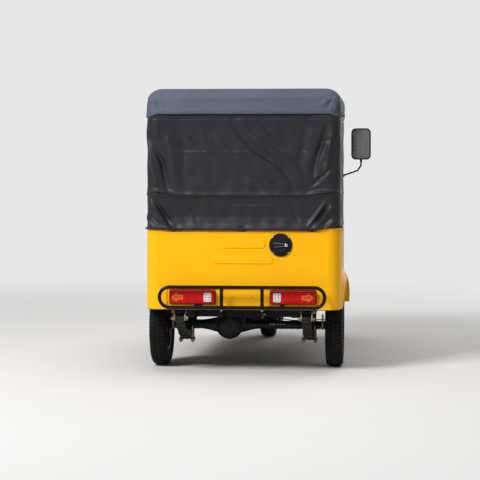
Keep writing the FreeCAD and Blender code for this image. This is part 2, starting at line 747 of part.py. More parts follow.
def rear_body():
    """Yellow tub: sides and rear panel with ribs, channel, arches and top rail."""
    skin = tub_plan(0, FLOOR_TOP, SHOULDER_Z).cut(
        tub_plan(WALL, FLOOR_TOP - 1, SHOULDER_Z + 1, TUB_FRONT_Y + 1))
    shoulder = tub_plan(0, SHOULDER_Z - WALL, SHOULDER_Z).cut(
        tub_plan(LIP_INSET + WALL, SHOULDER_Z - WALL - 1, SHOULDER_Z + 1, TUB_FRONT_Y + 1))
    lip = tub_plan(LIP_INSET, SHOULDER_Z - WALL, LIP_TOP).cut(
        tub_plan(LIP_INSET + WALL, SHOULDER_Z - WALL - 1, LIP_TOP + 1, TUB_FRONT_Y + 1))
    rail = tub_plan(LIP_INSET, LIP_TOP - WALL, LIP_TOP).cut(
        tub_plan(LIP_INSET + LIP_FLANGE, LIP_TOP - WALL - 1, LIP_TOP + 1, TUB_FRONT_Y + 1))
    bead = tub_plan(-BEAD, SHOULDER_Z - BEAD_HEIGHT, SHOULDER_Z).cut(
        tub_plan(WALL / 2, SHOULDER_Z - BEAD_HEIGHT - 1, SHOULDER_Z + 1, TUB_FRONT_Y + 1))
    flange = box((BODY_HALF_WIDTH - LIP_FLANGE, BODY_HALF_WIDTH - WALL / 2),
                 (TUB_FRONT_Y - WALL, TUB_FRONT_Y), (FLOOR_TOP, SHOULDER_Z))
    body = fuse([skin, shoulder, lip, rail, bead, flange, mirrored(flange)])
    back = channel_prism(CHANNEL_HALF_WIDTH + WALL, CHANNEL_HEIGHT + 2 * WALL,
                         CHANNEL_DEPTH + WALL, PANEL_Y)
    hollow = channel_prism(CHANNEL_HALF_WIDTH + 1, CHANNEL_HEIGHT, CHANNEL_DEPTH + 1, PANEL_Y - 1)
    ribs = [panel_rib(*row) for row in RIB_TABLE]
    body = fuse([body, back] + ribs).cut(hollow)
    for side in (-1, 1):
        body = body.cut(wheel_arch_tool(ARCH_RADIUS, side * (BODY_HALF_WIDTH - LIP_FLANGE - 1),
                                        side * FLARE_HALF_WIDTH))
        x = side * PLATE_HOLE_X
        body = body.cut(rod((x, PANEL_Y - 5, CHANNEL_Z), (x, PANEL_Y + 40, CHANNEL_Z),
                            PLATE_HOLE_RADIUS))
    flare = arch_flare()
    return fuse([body, flare, mirrored(flare)])


def wheel_houses():
    """Inner wheel houses, standing on the floor against the tub sides."""
    inner, outer = WHEEL_HOUSE_X - WALL, BODY_HALF_WIDTH - WALL
    drum = wheel_arch_tool(ARCH_RADIUS + WALL, inner, outer)
    space = wheel_arch_tool(ARCH_RADIUS, WHEEL_HOUSE_X, outer + 1)
    above = box((inner - 1, outer + 1), (REAR_AXLE_Y - FLARE_RADIUS, REAR_AXLE_Y + FLARE_RADIUS),
                (FLOOR_TOP, AXLE_Z + FLARE_RADIUS))
    return pair(drum.cut(space).common(above))


def floor_pan():
    """Floor sheet with openings for the wheels and the engine."""
    rear = tub_plan(WALL / 2, RAIL_TOP, FLOOR_TOP)
    half, front = BODY_HALF_WIDTH - WALL / 2, FRONT_HALF_WIDTH - WALL / 2
    outline = [(half, TUB_FRONT_Y), (front, TAPER_FRONT_Y), (front, BULKHEAD_Y),
               (-front, BULKHEAD_Y), (-front, TAPER_FRONT_Y), (-half, TUB_FRONT_Y)]
    sheet = fuse([rear, extrude_z(outline, RAIL_TOP, FLOOR_TOP)])
    reach = math.sqrt(ARCH_RADIUS ** 2 - (FLOOR_TOP - AXLE_Z) ** 2)
    for side in (-1, 1):
        sheet = sheet.cut(box((side * WHEEL_HOUSE_X, side * FLARE_HALF_WIDTH),
                              (REAR_AXLE_Y - reach, REAR_AXLE_Y + reach),
                              (RAIL_BOTTOM, FLOOR_TOP + 1)))
    hatch = 12
    sheet = sheet.cut(box((ENGINE_X[0] - hatch, ENGINE_X[1] + hatch),
                          (ENGINE_Y[0] - hatch, ENGINE_Y[1] + hatch), (RAIL_BOTTOM, FLOOR_TOP + 1)))
    return fuse([sheet, brake_pedal(), hand_brake()])


def brake_pedal():
    """Foot brake standing on the floor at the driver's right."""
    x, y, z = PEDAL_X, BULKHEAD_Y - 120, FLOOR_TOP
    arm = [(x, y + 20, z + 5), (x, y + 60, z + 70), (x, y + 20, z + 118)]
    return fuse([
        box((x - 20, x + 20), (y, y + 40), (z - 1, z + 10)),
        tube_run(arm, LEVER_RADIUS),
        box((x - 32, x + 32), (y - 4, y + 22), (z + 112, z + 126)),
    ])


def hand_brake():
    """Parking brake lever beside the driver's seat box."""
    x, z = ENGINE_COVER_HALF + 40, FLOOR_TOP
    y = ENGINE_COVER_Y[1] - 0.56 * BRAKE_REACH
    grip = [(x, y + share * BRAKE_REACH, z + rise * BRAKE_RISE) for share, rise in ((0.64, 0.73), (1, 1))]
    return fuse([
        box((x - 14, x + 14), (y - 50, y + 30), (z - 1, z + 34)),
        tube_run([(x, y, z + 22), (x, y + 0.32 * BRAKE_REACH, z + BRAKE_RISE / 2)] + grip, LEVER_RADIUS),
        rod(grip[0], grip[1], LEVER_RADIUS + 5),
    ])


def side_sills():
    """Box sills under both floor edges."""
    sill = tapered_strip(WALL / 2, SILL_SIZE, TUB_FRONT_Y, TAPER_FRONT_Y,
                         RAIL_TOP - SILL_SIZE, RAIL_TOP)
    return pair(sill)


def seat_box():
    """Bench panel from side to side with its front riser and the luggage shelf behind."""
    top = tub_plan(WALL, SEAT_TOP_Z - WALL, SEAT_TOP_Z, SEAT_FRONT_Y)
    riser = box((-BODY_HALF_WIDTH + WALL, BODY_HALF_WIDTH - WALL),
                (SEAT_FRONT_Y - WALL, SEAT_FRONT_Y), (FLOOR_TOP, SEAT_TOP_Z))
    whole = fuse([top, riser])
    for side in (-1, 1):
        x0, x1 = side * (WHEEL_HOUSE_X - WALL), side * FLARE_HALF_WIDTH
        whole = whole.cut(wheel_arch_tool(ARCH_RADIUS + WALL + FIT, x0 - side * FIT, x1))
    return whole


def rear_seat_cushion():
    half = BACK_HALF + 12
    pad = box((-half, half), (BACK_Y + BACK_DEPTH, SEAT_FRONT_Y + 12),
              (SEAT_TOP_Z + FIT, SEAT_TOP_Z + SEAT_PAD))
    upper = [e for e in pad.Edges if e.CenterOfMass.z > SEAT_TOP_Z + SEAT_PAD / 2]
    return pad.makeFillet(PAD_EDGE, upper)


def rear_seat_back():
    """Backrest pad, leaning back against its board."""
    pad = box((-BACK_HALF, BACK_HALF), (0, BACK_DEPTH), (0, BACK_HEIGHT))
    pad = pad.makeFillet(PAD_EDGE, [e for e in pad.Edges if e.CenterOfMass.y > BACK_DEPTH / 2 - 1])
    pad.rotate(V(0, 0, 0), V(1, 0, 0), BACK_LEAN)
    pad.translate(V(0, BACK_Y, SEAT_TOP_Z + SEAT_PAD + 4))
    return pad


def seat_back_board():
    """Upright board behind the backrest, on the bench panel."""
    board = box((-BACK_HALF, BACK_HALF), (-WALL, 0), (-2 * SEAT_PAD, BACK_HEIGHT + 10))
    board.rotate(V(0, 0, 0), V(1, 0, 0), BACK_LEAN)
    board.translate(V(0, BACK_Y - FIT, SEAT_TOP_Z + SEAT_PAD + 4))
    above = box((-FAR, FAR), (-FAR, FAR), (SEAT_TOP_Z, FAR))
    return board.common(above)


def engine_cover():
    """Driver's seat box over the engine."""
    y0, y1 = ENGINE_COVER_Y
    shell = box((-ENGINE_COVER_HALF, ENGINE_COVER_HALF), (y0, y1), (FLOOR_TOP, ENGINE_COVER_TOP))
    upright = [e for e in shell.Edges if abs(e.tangentAt(0).z) > 0.9]
    shell = shell.makeFillet(30, upright)
    inner = box((-ENGINE_COVER_HALF + WALL, ENGINE_COVER_HALF - WALL), (y0 + WALL, y1 - WALL),
                (FLOOR_TOP - 1, ENGINE_COVER_TOP - WALL))
    upright = [e for e in inner.Edges if abs(e.tangentAt(0).z) > 0.9]
    return shell.cut(inner.makeFillet(30 - WALL, upright))


def engine():
    """Engine and gearbox as one plain stepped block."""
    case = box(ENGINE_X, ENGINE_Y, (ENGINE_BOTTOM, RAIL_TOP))
    in_x, in_y = ENGINE_STEP
    head = box((ENGINE_X[0] + in_x, ENGINE_X[1] - in_x), (ENGINE_Y[0] + in_y, ENGINE_Y[1] - in_y),
               (RAIL_TOP, ENGINE_TOP))
    return fuse([case, head])


def propeller_shaft():
    """Shaft between the gearbox and the axle nose, with its two joints."""
    rear = REAR_AXLE_Y + BANJO_HALF_DEPTH + 84
    front = ENGINE_Y[0]
    rise = 20.0
    pieces = [
        rod((BANJO_X, rear, AXLE_Z), (BANJO_X, rear + 14, AXLE_Z), 42),
        rod((BANJO_X, rear + 14, AXLE_Z), (BANJO_X, rear + 60, AXLE_Z), 24),
        ball((BANJO_X, rear + 60, AXLE_Z), 26),
        rod((BANJO_X, rear + 60, AXLE_Z), (BANJO_X, front - 60, AXLE_Z + rise), SHAFT_RADIUS),
        ball((BANJO_X, front - 60, AXLE_Z + rise), 26),
        rod((BANJO_X, front - 60, AXLE_Z + rise), (BANJO_X, front, AXLE_Z + rise), 24),
        rod((BANJO_X, front - 14, AXLE_Z + rise), (BANJO_X, front, AXLE_Z + rise), 38),
    ]
    return fuse(pieces)


def silencer():
    """Silencer hung from the spring cross member, with its pipes."""
    x, z = SILENCER_X, SILENCER_Z
    rear, front = SILENCER_Y
    hang_y = sum(SPRING_CROSS_Y) / 2
    seam = SILENCER_RADIUS + 3
    drain = z - SILENCER_RADIUS - 34
    pieces = [
        rod((x, rear, z), (x, front, z), SILENCER_RADIUS),
        rod((x, rear, z), (x, rear + 10, z), seam),
        rod((x, front - 10, z), (x, front, z), seam),
        rod((x, front, z), (x, ENGINE_Y[0], z), 18),
        tube_run([(x, rear, z), (x, rear - TAIL_PIPE[1] / 2, z),
                  (x + TAIL_PIPE[0], rear - TAIL_PIPE[1], z - TAIL_PIPE[2])], 16),
        box((x - 15, x + 15), (hang_y - 3, hang_y + 3), (z + SILENCER_RADIUS - 12, RAIL_BOTTOM)),
        rod((x + 6, rear + 40, z - SILENCER_RADIUS + 6), (x + 6, rear + 40, drain), 4),
        ball((x + 6, rear + 40, drain), 11),
    ]
    return fuse(pieces)


def rear_bumper():
    """Black tube loop with two uprights and stays to the frame."""
    radius = (BUMPER_TOP_Z - BUMPER_LOW_Z) / 2
    centre_z = (BUMPER_TOP_Z + BUMPER_LOW_Z) / 2
    reach = BUMPER_HALF_WIDTH - radius
    pieces = [rod((-reach, BUMPER_Y, z), (reach, BUMPER_Y, z), BUMPER_TUBE)
              for z in (BUMPER_LOW_Z, BUMPER_TOP_Z)]
    for side in (-1, 1):
        circle = Part.Face(Part.Wire(Part.makeCircle(
            BUMPER_TUBE, V(side * reach, BUMPER_Y, BUMPER_LOW_Z), V(1, 0, 0))))
        pieces.append(circle.revolve(V(side * reach, BUMPER_Y, centre_z), V(0, -side, 0), 180))
        x = side * BUMPER_UPRIGHT_X
        pieces.append(rod((x, BUMPER_Y, BUMPER_LOW_Z), (x, BUMPER_Y, BUMPER_TOP_Z), BUMPER_TUBE))
        plate = (x - STAY_HALF, x + STAY_HALF)
        pieces.append(box(plate, (BUMPER_Y - 9, BUMPER_Y + 16), (STAY_Z[0], BUMPER_LOW_Z)))
        pieces.append(box(plate, (BUMPER_Y - 9, REAR_CROSS_Y[0]), STAY_Z))
    return fuse(pieces)


def tail_lamp():
    """Right tail lamp: housing and lens."""
    y_back = PANEL_Y + CHANNEL_DEPTH
    x = (LAMP_X - LAMP_WIDTH / 2, LAMP_X + LAMP_WIDTH / 2)
    z = (CHANNEL_Z - LAMP_HEIGHT / 2, CHANNEL_Z + LAMP_HEIGHT / 2)
    body = box(x, (y_back - LAMP_DEPTH, y_back), z)
    edges = [e for e in body.Edges if e.CenterOfMass.y < y_back - 1]
    body = body.makeFillet(LAMP_CORNER, edges)
    raised = (y_back - LAMP_DEPTH - LAMP_RELIEF, y_back - LAMP_DEPTH + 1)
    tip = LAMP_X + LAMP_WIDTH / 2 - 16
    neck, tail = tip - 32, tip - 71
    upper = [(tip, 0), (neck, 27), (neck, 14), (tail, 14)]
    lower = [(px, -pz) for px, pz in reversed(upper[1:])]
    arrow = extrude_y([(px, CHANNEL_Z + pz) for px, pz in upper + lower], *raised)
    inner = LAMP_X - LAMP_WIDTH / 2 + 20
    block = box((inner, inner + 50), raised, (CHANNEL_Z - 30, CHANNEL_Z + 30))
    return fuse([body, arrow, block])


def fuel_cap():
    """Filler flange with a raised grip bar."""
    y = PANEL_Y
    flange = rod((CAP_X, y - 7, CAP_Z), (CAP_X, y, CAP_Z), CAP_RADIUS)
    lid = Part.makeCone(CAP_LID_RADIUS, CAP_LID_RADIUS - 6, 9, V(CAP_X, y - 7, CAP_Z), V(0, -1, 0))
    grip = extrude_y([(CAP_X - 45, CAP_Z + 16), (CAP_X + 34, CAP_Z + 9), (CAP_X + 45, CAP_Z),
                      (CAP_X + 34, CAP_Z - 9), (CAP_X - 45, CAP_Z - 16)], y - 28, y - 10)
    grip = grip.makeChamfer(4, outer_edges(grip, y - 28))
    key = rod((CAP_X + 36, y - 30, CAP_Z), (CAP_X + 36, y - 10, CAP_Z), 10)
    screws = [rod((CAP_X + i * CAP_SCREW, y - 9, CAP_Z + j * CAP_SCREW),
                  (CAP_X + i * CAP_SCREW, y - 6, CAP_Z + j * CAP_SCREW), 4)
              for i in (-1, 1) for j in (-1, 1)]
    return fuse([flange, lid, grip, key] + screws)


def cowl_solid(inset, z0, z1):
    """Nose volume between two plan outlines."""
    wires = []
    for z in (z0, z1):
        share = (z - FLOOR_TOP) / (COWL_TOP_Z - FLOOR_TOP)
        front = COWL_FRONT_LOW_Y + (COWL_FRONT_TOP_Y - COWL_FRONT_LOW_Y) * share - inset
        half = FRONT_HALF_WIDTH - inset
        radius = COWL_CORNER - inset
        turn = radius * math.sqrt(0.5)
        rear = BULKHEAD_Y - (1 if inset else 0)
        cx, cy = half - radius, front - radius
        p = [V(half, rear, z), V(half, cy, z), V(cx + turn, cy + turn, z), V(cx, front, z),
             V(-cx, front, z), V(-cx - turn, cy + turn, z), V(-half, cy, z), V(-half, rear, z)]
        wires.append(Part.Wire([
            Part.LineSegment(p[0], p[1]).toShape(),
            Part.Arc(p[1], p[2], p[3]).toShape(),
            Part.LineSegment(p[3], p[4]).toShape(),
            Part.Arc(p[4], p[5], p[6]).toShape(),
            Part.LineSegment(p[6], p[7]).toShape(),
            Part.LineSegment(p[7], p[0]).toShape(),
        ]))
    return Part.makeLoft(wires, True, True)


def front_cowl():
    """Yellow nose with its top plate, wheel arch and lamp holes."""
    outer = cowl_solid(0, FLOOR_TOP, COWL_TOP_Z)
    brow = [e for e in outer.Edges if e.CenterOfMass.z > COWL_TOP_Z - 0.01
            and e.CenterOfMass.y > BULKHEAD_Y + 1]
    outer = outer.makeFillet(COWL_EDGE, brow)
    inner = cowl_solid(WALL, FLOOR_TOP - 1, COWL_TOP_Z - WALL)
    brow = [e for e in inner.Edges if e.CenterOfMass.z > COWL_TOP_Z - WALL - 0.01
            and e.CenterOfMass.y > BULKHEAD_Y + 1]
    inner = inner.makeFillet(COWL_EDGE - WALL, brow)
    shell = outer.cut(inner)
    arch_rear = BULKHEAD_Y + 55
    arch = fuse([
        box((-NOSE_ARCH_RADIUS, NOSE_ARCH_RADIUS), (arch_rear, FAR), (0, NOSE_ARCH_Z)),
        rod((0, arch_rear, NOSE_ARCH_Z), (0, FAR, NOSE_ARCH_Z), NOSE_ARCH_RADIUS),
    ])
    shell = shell.cut(arch)
    column = rod(steer_point(0, HEAD_END), steer_point(0, BAR_HEIGHT), 42)
    shell = shell.cut(column)
    for side in (-1, 1):
        x = side * HEADLAMP_X
        shell = shell.cut(rod((x, COWL_FRONT_TOP_Y - 10, HEADLAMP_Z), (x, FAR, HEADLAMP_Z),
                              HEADLAMP_RADIUS + FIT))
    for step in range(GRILLE_SLOTS):
        z = GRILLE_TOP_Z - GRILLE_PITCH * step
        shell = shell.cut(box((-GRILLE_HALF, GRILLE_HALF), (COWL_FRONT_TOP_Y - 40, FAR), (z - 5, z + 5)))
    return shell


def headlamps():
    """Round headlamps through the nose."""
    x, y, z = HEADLAMP_X, HEADLAMP_FACE_Y, HEADLAMP_Z
    lamp = rod((x, COWL_FRONT_TOP_Y, z), (x, y, z), HEADLAMP_RADIUS)
    lens = Part.makeCone(HEADLAMP_RADIUS, HEADLAMP_RADIUS - 20, 14, V(x, y, z), V(0, 1, 0))
    rim = rod((x, y - 12, z), (x, y, z), HEADLAMP_RADIUS + HEADLAMP_RIM)
    return pair(fuse([lamp, lens, rim]))


def instrument_pod():
    """Dial housing on the nose, in front of the handlebar."""
    rear, front = POD_Y
    base, top = COWL_TOP_Z, COWL_TOP_Z + POD_HEIGHT
    outline = [(rear, base), (front, base), (front, top - 18), (front - 20, top), (rear + 14, top - 16)]
    pod = extrude_x(outline, -POD_HALF, POD_HALF)
    return pod.makeFillet(8, [e for e in pod.Edges if e.CenterOfMass.z > top - 30])


def dash_panel():
    """Bulkhead between the nose and the driver's feet, and the dial housing."""
    half = FRONT_HALF_WIDTH - WALL / 2
    bulkhead = box((-half, half), (BULKHEAD_Y - WALL, BULKHEAD_Y), (FLOOR_TOP, COWL_TOP_Z))
    return Part.makeCompound([bulkhead, instrument_pod()])


def screen_place(shape):
    """Lean an upright piece back and set it on the nose."""
    placed = shape.copy()
    placed.rotate(V(0, 0, 0), V(1, 0, 0), SCREEN_LEAN)
    placed.translate(V(0, SCREEN_BASE_Y, COWL_TOP_Z))
    return placed


def screen_height():
    return (SCREEN_TOP_Z - COWL_TOP_Z) / math.cos(math.radians(SCREEN_LEAN))


def windscreen_frame():
    """Posts with a bottom and a top bar."""
    half = FRONT_HALF_WIDTH - LIP_INSET
    bar = SCREEN_BAR
    height = screen_height()
    depth = (-bar / 2, bar / 2)
    pieces = [box((-half, half), depth, (15, 15 + bar)),
              box((-half, half), depth, (height - 12 - bar, height - 12))]
    for side in (-1, 1):
        pieces.append(box((side * half, side * (half - bar)), depth, (-20, height + 20)))
    frame = screen_place(fuse(pieces))
    return frame.common(box((-FAR, FAR), (0, FAR), (COWL_TOP_Z, SCREEN_TOP_Z)))


def windscreen_glass():
    half = FRONT_HALF_WIDTH - LIP_INSET - SCREEN_BAR
    pane = box((-half, half), (-GLASS / 2, GLASS / 2),
               (15 + SCREEN_BAR, screen_height() - 12 - SCREEN_BAR))
    return screen_place(pane)


def hoop_half(y):
    """Half the distance between the posts of the hoop at this place."""
    return HOOP_HALF - taper(y)


def hoop_top(y):
    """Upper part of a hoop, above the straight posts."""
    half = hoop_half(y)
    centre_x, centre_z = half - HOOP_ARC, HOOP_TOP_Z - HOOP_ARC
    pieces = [rod((-centre_x, y, HOOP_TOP_Z), (centre_x, y, HOOP_TOP_Z), TUBE)]
    for side in (-1, 1):
        circle = Part.Face(Part.Wire(Part.makeCircle(
            TUBE, V(side * half, y, centre_z), V(0, 0, 1))))
        pieces.append(circle.revolve(V(side * centre_x, y, centre_z), V(0, -side, 0), 90))
    return fuse(pieces)


def corner_post_xy():
    """Rear post centre, just inside the rounded canvas corner."""
    reach = (CORNER_RADIUS - LIP_INSET - TUBE) * math.sqrt(0.5)
    return BODY_HALF_WIDTH - CORNER_RADIUS + reach, PANEL_Y + CORNER_RADIUS - reach


def hood_posts():
    """Middle and door posts, and the rear ladder with its two bows."""
    split = HOOP_TOP_Z - HOOP_ARC
    solids = []
    for y, foot in ((PARTITION_Y, FLOOR_TOP), (DOOR_HOOP_Y, LIP_TOP)):
        post = rod((hoop_half(y), y, foot), (hoop_half(y), y, split), TUBE)
        solids += [post, mirrored(post)]
    x, y = corner_post_xy()
    ladder = [rod((side * x, y, LIP_TOP), (side * x, y, REAR_POST_TOP), TUBE) for side in (-1, 1)]
    bend = BODY_HALF_WIDTH - CORNER_RADIUS
    bow_y = PANEL_Y + LIP_INSET + RAIL_TUBE
    low, high = BOW_Z, REAR_POST_TOP - TUBE
    bow = [(-x, y, low), (-bend, bow_y, low), (bend, bow_y, low), (x, y, low)]
    ladder.append(tube_run(bow, RAIL_TUBE))
    ladder.append(rod((-x, y, high), (x, y, high), RAIL_TUBE))
    solids.append(fuse(ladder))
    return Part.makeCompound(solids)


def hood_bows():
    """Roof bows and rails, on top of the posts."""
    rail_reach = HOOP_ARC * math.sqrt(0.5)
    rail_inset = HOOP_ARC - rail_reach
    rail_z = HOOP_TOP_Z - HOOP_ARC + rail_reach
    front_y = screen_top_y()
    pieces = [hoop_top(y) for y in (PARTITION_Y, DOOR_HOOP_Y)]
    front = hoop_top(front_y)
    pieces.append(front.common(box((-FAR, FAR), (front_y - 50, front_y + 50), (SCREEN_TOP_Z, FAR))))
    rear = hoop_top(REAR_BOW_Y)
    pieces.append(rear.common(box((-FAR, FAR), (REAR_BOW_Y - 50, REAR_BOW_Y + 50), (rail_z, FAR))))
    x, y = corner_post_xy()
    for side in (-1, 1):
        rail_rear = (side * (HOOP_HALF - rail_inset), REAR_BOW_Y, rail_z)
        rail_bend = (rail_rear[0], TUB_FRONT_Y, rail_z)
        rail_front = (side * (hoop_half(front_y) - rail_inset), front_y, rail_z)
        pieces.append(tube_run([rail_rear, rail_bend, rail_front], RAIL_TUBE))
        pieces.append(rod(rail_rear, (side * x, y, REAR_POST_TOP - 6), RAIL_TUBE))
    whole = fuse(pieces)
    return whole.cut(hood_posts())


def screen_top_y():
    return SCREEN_BASE_Y - (SCREEN_TOP_Z - COWL_TOP_Z) * math.tan(math.radians(SCREEN_LEAN))


def roof_volume(inset, bottom):
    """Roof and valance volume, moved inwards by the inset."""
    half = BODY_HALF_WIDTH - LIP_INSET + 2 * FIT + 2 * CANVAS + 1 - inset
    top = ROOF_TOP_Z - inset
    radius = HOOP_ARC + TUBE + CANVAS - inset
    straight = Part.Face(arch_wire(half, top, radius, bottom, -FAR))
    straight = straight.extrude(V(0, TUB_FRONT_Y + FAR, 0))
    wires = [arch_wire(half - taper(y), top, radius, bottom, y) for y in (TUB_FRONT_Y, TAPER_FRONT_Y)]
    tapered = Part.makeLoft(wires, True, True)
    nose = Part.Face(wires[1]).extrude(V(0, FAR, 0))
    section = straight.multiFuse([tapered, nose]).removeSplitter()
    rear = PANEL_Y + LIP_INSET - 2 * FIT - 2 * CANVAS - 1 + inset
    knee = VALANCE_KNEE_Z
    outline = [
        (rear, bottom), (rear, knee), (rear + 25, VALANCE_CREASE_Z - inset * 0.5),
        (rear + 93, top), (ROOF_FRONT_Y - 40 - inset * 0.5, top),
        (ROOF_FRONT_Y - inset, top - 40), (ROOF_FRONT_Y - inset, bottom)]
    profile = extrude_x(outline, -FAR, FAR)
    plan = rounded_plan(half, rear, CORNER_RADIUS + 4 - inset, FAR, bottom, FAR)
    return section.common(profile).common(plan)


def roof_cover():
    """Canvas roof with its valance all round."""
    outer = roof_volume(0, VALANCE_BOTTOM)
    inner = roof_volume(CANVAS, VALANCE_BOTTOM - 1)
    cover = outer.cut(inner)
    front_cut = box((-FAR, FAR), (ROOF_FRONT_Y - 60, FAR),
                    (VALANCE_BOTTOM - 1, VALANCE_BOTTOM + FRONT_VALANCE))
    return cover.cut(front_cut)


def rear_curtain():
    """Canvas curtain round the back and the rear quarters."""
    inset = LIP_INSET - FIT - CANVAS
    outer = tub_plan(inset, CURTAIN_BOTTOM, CURTAIN_TOP, DOOR_HOOP_Y - 30)
    inner = tub_plan(inset + CANVAS, CURTAIN_BOTTOM - 1, CURTAIN_TOP + 1, DOOR_HOOP_Y - 29)
    return outer.cut(inner)


def partition_rail():
    """Two rails between the middle posts, behind the driver."""
    reach = hoop_half(PARTITION_Y) - TUBE - FIT
    low, high = PARTITION_Z
    rails = [rod((-reach, PARTITION_Y, z), (reach, PARTITION_Y, z), TUBE) for z in PARTITION_Z]
    bars = [rod((step * reach / 3, PARTITION_Y, low), (step * reach / 3, PARTITION_Y, high), 8)
            for step in (-2, -1, 0, 1, 2)]
    return fuse(rails + bars)


def driver_seat_cushion():
    y0, y1 = ENGINE_COVER_Y
    top = ENGINE_COVER_TOP
    half = ENGINE_COVER_HALF - 30
    pad = box((-half, half), (y0 + 20, y1 - 20), (top + FIT, top + DRIVER_PAD))
    return pad.makeFillet(PAD_EDGE, [e for e in pad.Edges if e.CenterOfMass.z > top + 30])


def driver_seat_back():
    y = PARTITION_Y + TUBE + FIT
    half = ENGINE_COVER_HALF - 60
    pad = box((-half, half), (y, y + 60), (PARTITION_Z[0] + 40, PARTITION_Z[1] + 50))
    return pad.makeFillet(PAD_EDGE, [e for e in pad.Edges if e.CenterOfMass.y > y + 10])


def mirror_unit():
    """Right door mirror on its arm from the windscreen post."""
    half, rise = MIRROR_WIDTH / 2, MIRROR_HEIGHT / 2
    head = box((MIRROR_X - half, MIRROR_X + half), (MIRROR_Y, MIRROR_Y + MIRROR_DEPTH),
               (MIRROR_Z - rise, MIRROR_Z + rise))
    long_way = [e for e in head.Edges if abs(e.tangentAt(0).y) > 0.9]
    head = head.makeFillet(32, long_way)
    head = head.makeFillet(9, [e for e in head.Edges if e.CenterOfMass.y > MIRROR_Y + MIRROR_DEPTH - 1])
    post_x = FRONT_HALF_WIDTH - LIP_INSET
    base_z = MIRROR_FOOT_Z
    base_y = SCREEN_BASE_Y - (base_z - COWL_TOP_Z) * math.tan(math.radians(SCREEN_LEAN))
    y = MIRROR_Y + MIRROR_DEPTH / 2
    low = MIRROR_Z - rise
    points = [(post_x, base_y, base_z), (MIRROR_X - 26, y, low - 82), (MIRROR_X, y, low - 44),
              (MIRROR_X, y, low + 20)]
    arm = tube_run(points, MIRROR_ARM)
    foot = rod((post_x, base_y, base_z), (post_x + 10, base_y, base_z), 13)
    arm = arm.common(box((post_x, FAR), (-FAR, FAR), (-FAR, FAR)))
    return fuse([head, arm, foot])


def fork_axle_local():
    """Axle centre (ahead, along) in the steering frame."""
    rake = math.radians(STEER_RAKE)
    return STEER_OFFSET * math.cos(rake), -STEER_OFFSET * math.sin(rake)


def front_fork():
    """Fork legs, crown, stem and axle."""
    ahead, along = fork_axle_local()
    crown_top = HEAD_START - RUN_GAP
    crown_bottom = crown_top - 28
    pieces = [box((-FORK_X - 24, FORK_X + 24), (-30, ahead + 24), (crown_bottom, crown_top)),
              rod((0, 0, crown_bottom), (0, 0, HEAD_END + RUN_GAP), STEM_RADIUS)]
    for side in (-1, 1):
        x = side * FORK_X
        pieces.append(rod((x, ahead, along - 24), (x, ahead, along + 190), FORK_RADIUS + 3))
        pieces.append(rod((x, ahead, along + 190), (x, ahead, crown_top), FORK_RADIUS - 3))
    pieces.append(rod((-FORK_X - 24, ahead, along), (FORK_X + 24, ahead, along), SPINDLE_RADIUS))
    return steer_place(fuse(pieces))


def front_mudguard():
    """Guard over the front tyre, held between the fork legs."""
    ahead, along = fork_axle_local()
    half = GUARD_HALF_WIDTH - 3
    ring = rod((-half, ahead, along), (half, ahead, along), GUARD_RADIUS)
    ring = ring.cut(rod((-half - 1, ahead, along), (half + 1, ahead, along), GUARD_RADIUS - 3))
    keep = extrude_x([
        (ahead, along), (ahead + 420, along + 170), (ahead + 420, along + 420),
        (ahead - 420, along + 420), (ahead - 420, along - 60)], -200, 200)
    ring = ring.common(keep)
    tabs = []
    for side in (-1, 1):
        tabs.append(box((side * half, side * (half - 3)), (ahead - 20, ahead + 20),
                        (along + 150, along + GUARD_RADIUS - 1)))
        lug_end = FORK_X - FORK_RADIUS - 3 - FIT
        tabs.append(box((side * (half - 3), side * lug_end), (ahead - 12, ahead + 12),
                        (along + 152, along + 186)))
    return steer_place(fuse([ring] + tabs))


def handlebar():
    """Column, clamp, swept bar and grips."""
    start = HEAD_END + RUN_GAP
    pieces = [rod((0, 0, start), (0, 0, BAR_HEIGHT), STEM_RADIUS),
              rod((0, 0, BAR_HEIGHT - 24), (0, 0, BAR_HEIGHT + 14), 24)]
    for side in (-1, 1):
        points = [(0, 0, BAR_HEIGHT), (side * 90, 0, BAR_HEIGHT), (side * 170, -40, BAR_HEIGHT + 50),
                  (side * 215, -70, BAR_HEIGHT + 50), (side * 330, -130, BAR_HEIGHT + 40)]
        pieces.append(tube_run(points, BAR_RADIUS))
        pieces.append(rod(points[3], points[4], GRIP_RADIUS))
        perch = (side * 205, -66, BAR_HEIGHT + 50)
        pieces.append(box((side * 192, side * 216), (-84, -44), (BAR_HEIGHT + 34, BAR_HEIGHT + 68)))
        lever_end = (side * 330, -78, BAR_HEIGHT + 42)
        pieces.append(tube_run([perch, (side * 225, -28, BAR_HEIGHT + 48), lever_end], 5))
    return steer_place(fuse(pieces))


